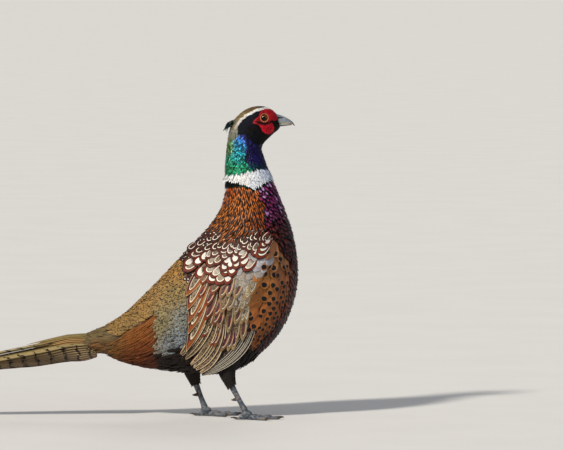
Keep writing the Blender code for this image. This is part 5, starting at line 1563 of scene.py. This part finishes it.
# The ear tufts: a spray of narrow glossy black-green feathers behind each side of the crown.
TUFT_ROOT, TUFT_TIP, TUFT_COUNT = (1.5, 8.5, 443), (-12.5, 10.5, 431.5), 16
tuft_finish = finish("ear_tuft_vanes", feather(None, 24.0, 4.0, 0.6), 0.35, Metallic=0.5)
draw = np.random.default_rng(51)
for word, side in (("left", 1), ("right", -1)):
    share, across = np.linspace(0, 1, 9), np.linspace(-1, 1, 3)
    root = np.array(TUFT_ROOT) + draw.normal(0, (1.6, 0.6, 1.8), (TUFT_COUNT, 3))
    tip = np.array(TUFT_TIP) + draw.normal(0, (1.6, 1.0, 2.6), (TUFT_COUNT, 3))
    size = draw.uniform(0.6, 1.0, (TUFT_COUNT, 1, 1))
    line = root[:, None] + (tip - root)[:, None] * share[None, :, None] * size
    line = line + np.array([-1.5, 0.8, 2.0]) * np.sin(math.pi * share)[None, :, None]
    way = (tip - root)[:, None] / np.linalg.norm(tip - root, axis=1)[:, None, None]
    broad = np.cross(np.array([0, 1.0, 0]) + draw.normal(0, 0.3, (TUFT_COUNT, 1, 3)), way)
    half = 1.3 * vane_shape(share, 0.3)[None, :, None, None] * across[None, None, :, None]
    outer = (line[:, :, None] + broad[:, :, None] * half) * (1, side, 1)
    traits = np.stack([draw.uniform(0, 1, TUFT_COUNT)] * 3, -1)
    u, v = (np.broadcast_to(place, outer.shape[:3]) for place in (across, share[:, None]))
    tint = np.tile(dye("0B1F1C"), (TUFT_COUNT, 1))
    tufts = vane_piece("ear_tufts_" + word, outer, 0.3, u, v, tint, traits,
                       bake_cells(u, v, TUFT_COUNT), tuft_finish, side < 0)
    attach(tufts, "root")


# The legs: feathered thighs, then bare shanks and toes in overlapping horny scales, blue-grey with
# dusty brown edges, a blunt spur behind each shank and a worn claw on each toe.
TARSUS_RADII = (5.2, 4.3, 3.8, 4.0, 4.9)
FRONT_TOES = ((0, 47, 4.6), (34, 35, 4.2), (-36, 37, 4.2))
HIND_TOE = (178, 15, 3.2)
CLAW_LENGTH, SPUR_UP, SPUR_LENGTH = 9.5, 26, 8.5
SCUTE_STEP, TOE_STEPS, TOE_SIDES = 3.1, 60, 24
THIGH_ROWS, THIGH_LANES = 13, 16


def scutes(distance, turn, step, front=0.0):
    """Overlapping plates: height falls from 1 to 0 along each step of distance, strongest where
    turn is near front, and the steps are bent and broken up behind."""
    phase = (distance / step + 0.25 * np.cos(2 * (turn - front)) ** 2) % 1.0
    facing = 0.5 + 0.5 * np.cos(turn - front)
    side_net = 0.5 + 0.5 * np.sin(distance * 2.3 + 3 * turn) * np.sin(6 * turn)
    return (1 - phase) ** 0.6 * facing + side_net * (1 - facing) * 0.7


def paint_scales(tree):
    """Blue-grey plates with browner, lighter edges and dust in the joints."""
    tint = own_tint(tree)
    height = put(tree, "SeparateColor", tint).outputs[0]
    place = own_place(tree)
    stain = put(tree, "TexNoise", place, None, 220.0, 4.0).outputs[0]
    colour = mixed(tree, eased(tree, stain, 0.35, 0.65), dye("3C444E"), dye("666E78"))
    colour = mixed(tree, eased(tree, height, 0.42, 0.08, 0.0, 0.9), colour, dye("2A221C"))
    return {"colour": mixed(tree, eased(tree, stain, 0.5, 0.66, 0.0, 0.7), colour, dye("7E6A52")),
            "height": stain}


def paint_claw(tree):
    """Dark horn with lengthwise grain, paler where it is worn."""
    place = own_place(tree)
    grain = put(tree, "TexNoise", place, None, 700.0, 5.0).outputs[0]
    return {"colour": mixed(tree, grain, dye("1E1A18"), dye("5C5046")), "height": grain}


scale_finish = finish("leg_scale_plates", paint_scales, 0.5, 0.35, 0.0003)
claw_finish = finish("claw_horn", paint_claw, 0.38, 0.3, 0.0002)
thigh_finish = finish("thigh_vanes", feather(None, 26.0), 0.75)


def leg_piece(name, points_faces, material, nodes, height=None):
    """A finished leg piece that takes the place of its nodes."""
    made = new_mesh(name, *points_faces, material)
    tall = np.zeros(len(made.data.vertices))
    if height is not None:
        tall[:height.size] = height.ravel()
    set_dye(made, "tint", np.repeat(tall[:, None], 3, 1))
    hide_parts(*nodes)
    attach(made, "root")
    return made


def toe_rings(foot, heading, length, radius):
    """A toe from the foot's ball: tapering sections flat on the floor, with three joint pads and
    scutes over the top."""
    share = np.linspace(0, 1, TOE_STEPS)[:, None]
    way = np.array([math.cos(heading), math.sin(heading), 0])
    aside = np.array([-way[1], way[0], 0])
    turn = np.linspace(0, 2 * math.pi, TOE_SIDES, endpoint=False)[None]
    size = radius * (1 - 0.45 * share) * (1 + 0.12 * np.cos(share * 6 * math.pi))
    plate = scutes(share * length, turn, 2.4, math.pi / 2)
    size = size * (0.95 + 0.1 * plate * (np.sin(turn) > -0.2))
    height = np.maximum(size * 0.95 * (1 + np.sin(turn)), 0)
    level = np.where(np.sin(turn) < -0.5, 0.05, height)
    spot = np.array([foot[0], foot[1], 0]) + way * (length * share)[..., None] \
        + (size * np.cos(turn))[..., None] * aside + level[..., None] * np.array([0, 0, 1.0])
    return spot, plate + 0 * turn, way


def joined(parts):
    """Several (points, faces) as one."""
    offsets = np.cumsum([0] + [len(points) for points, _ in parts[:-1]])
    return np.concatenate([points for points, _ in parts]), np.concatenate(
        [faces + offset for (_, faces), offset in zip(parts, offsets)])


draw = np.random.default_rng(61)
for word, *leg in LEGS:
    side = leg[0]
    top, foot, down = leg_line(*leg)
    start, end = top + down * (THIGH_BELOW_ANKLE - 4), foot - down * 5
    share = np.linspace(0, 1, 110)
    radii = smooth_through(np.linspace(0, 1, 5), np.array(TARSUS_RADII)[:, None], share)[:, 0]
    rings = tube(start + (end - start) * share[:, None], radii, 36, 0.8)
    centre = rings.mean(1, keepdims=True)
    turn = np.linspace(0, 2 * math.pi, 36, endpoint=False)[None]
    plate = scutes((share * np.linalg.norm(end - start))[:, None], turn, SCUTE_STEP, math.pi / 2)
    rings = centre + (rings - centre) * (0.95 + 0.12 * plate[..., None])
    leg_piece("shank_" + word, capped(rings), scale_finish, ["tarsus_" + word], plate)

    parts, heights = [], []
    ball_share = np.linspace(0, 1, 18)[:, None]
    turn = np.linspace(0, 2 * math.pi, 28, endpoint=False)[None]
    polar = 0.05 + (math.pi - 0.1) * ball_share
    plate = scutes(ball_share * 20, turn, 2.6)
    ball = np.stack(np.broadcast_arrays(
        foot[0] + 8.2 * np.sin(polar) * np.cos(turn) * (0.97 + 0.05 * plate),
        foot[1] + 7.4 * np.sin(polar) * np.sin(turn) * (0.97 + 0.05 * plate),
        7.6 - 7.2 * np.cos(polar) + 0 * turn), -1)
    parts.append(capped(ball))
    heights.append(np.append(plate + 0 * turn, (0, 0)))
    for number, (angle, length, radius) in enumerate((*FRONT_TOES, HIND_TOE), 1):
        spot, plate, way = toe_rings(foot, math.radians(side * angle), length, radius)
        points, faces = capped(spot)
        parts.append((points, faces))
        heights.append(np.append(plate, (0, 0)))
        root = spot[-1].mean(0) - way * 0.8
        share = np.linspace(0, 1, 22)[:, None]
        path = root + way * ((CLAW_LENGTH + 0.6) * share) + np.array([0, 0, 1.0]) * (
            1.6 * np.sin(share * 2.4) - 0.4)
        radii = radius * 0.52 * (1 - share[:, 0]) ** 0.7 + 0.3
        path[:, 2] = np.maximum(path[:, 2], radii * 0.6)
        claw = tube(path, radii, 16, 0.75)
        claw[..., 2] = np.maximum(claw[..., 2], 0.05)
        leg_piece(f"claw_horn_{word}_{number}", capped(claw), claw_finish,
                  [f"claw_{word}_{number}"])
    leg_piece("foot_scales_" + word, joined(parts), scale_finish, ["foot_" + word],
              np.concatenate(heights))

    back = np.cross(down, (0, 1.0, 0))
    back = back if back[0] < 0 else -back
    way = back + np.array([0, -0.45 * side, 0.15])
    way /= np.linalg.norm(way)
    share = np.linspace(0, 1, 20)[:, None]
    path = foot - down * SPUR_UP + way * (3.0 + (SPUR_LENGTH + 1.6) * share)
    path = path + np.array([0, 0, 1.4]) * share ** 2
    spur = tube(path, 2.5 * (1 - share[:, 0] ** 1.6) + 0.3, 18)
    leg_piece("spur_horn_" + word, capped(spur), claw_finish, ["spur_" + word])

    across = np.linspace(-1, 1, 5)
    stage, lane = (v.ravel() for v in np.meshgrid(np.arange(THIGH_ROWS), np.arange(THIGH_LANES),
                                                  indexing="ij"))
    begin = 0.06 + 0.84 * (stage + draw.uniform(-0.3, 0.3, stage.size)) / THIGH_ROWS
    around = lane + 0.5 * (stage % 2) + draw.uniform(-0.2, 0.2, lane.size)
    around = around / THIGH_LANES * 2 * math.pi
    share = np.array(VANE_SHARES[7])
    place = np.clip(begin[:, None] + 0.2 * share[None], 0, 1.12)
    centres, radii = thigh_path(*leg, place.ravel())
    centres, radii = centres.reshape(place.shape + (3,)), radii.reshape(place.shape)
    lift = -THIGH_DEPTH + (THIGH_DEPTH + 0.9) * share ** 0.75
    half = radii[..., None] * 0 + np.interp(begin, (0, 1), (0.27, 0.3))[:, None, None] \
        * vane_shape(share, 0.6)[None, :, None] * across
    angle = around[:, None, None] + half
    ahead = np.cross(np.array([0, 1.0, 0]), down)
    reach = (radii + lift[None])[..., None, None] - 0.35 * (across ** 2)[None, None, :, None]
    spot = centres[:, :, None] + reach * (
        np.cos(angle)[..., None] * np.array([0, THIGH_SQUASH, 0]) + np.sin(angle)[..., None] * ahead)
    u, v = np.broadcast_to(across, half.shape), np.broadcast_to(share[:, None], half.shape)
    count = stage.size
    tint = ground_at(np.full(count, KIND["belly"]), spot[:, 5, 2, 0], spot[:, 5, 2, 2])
    traits = np.stack([draw.uniform(0, 1, count)] * 3, -1)
    piece = vane_piece("thigh_feathers_" + word, spot, 0.3, u, v, tint, traits,
                       np.stack([around / (2 * math.pi) % 1.0, begin], -1), thigh_finish)
    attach(piece, "root")
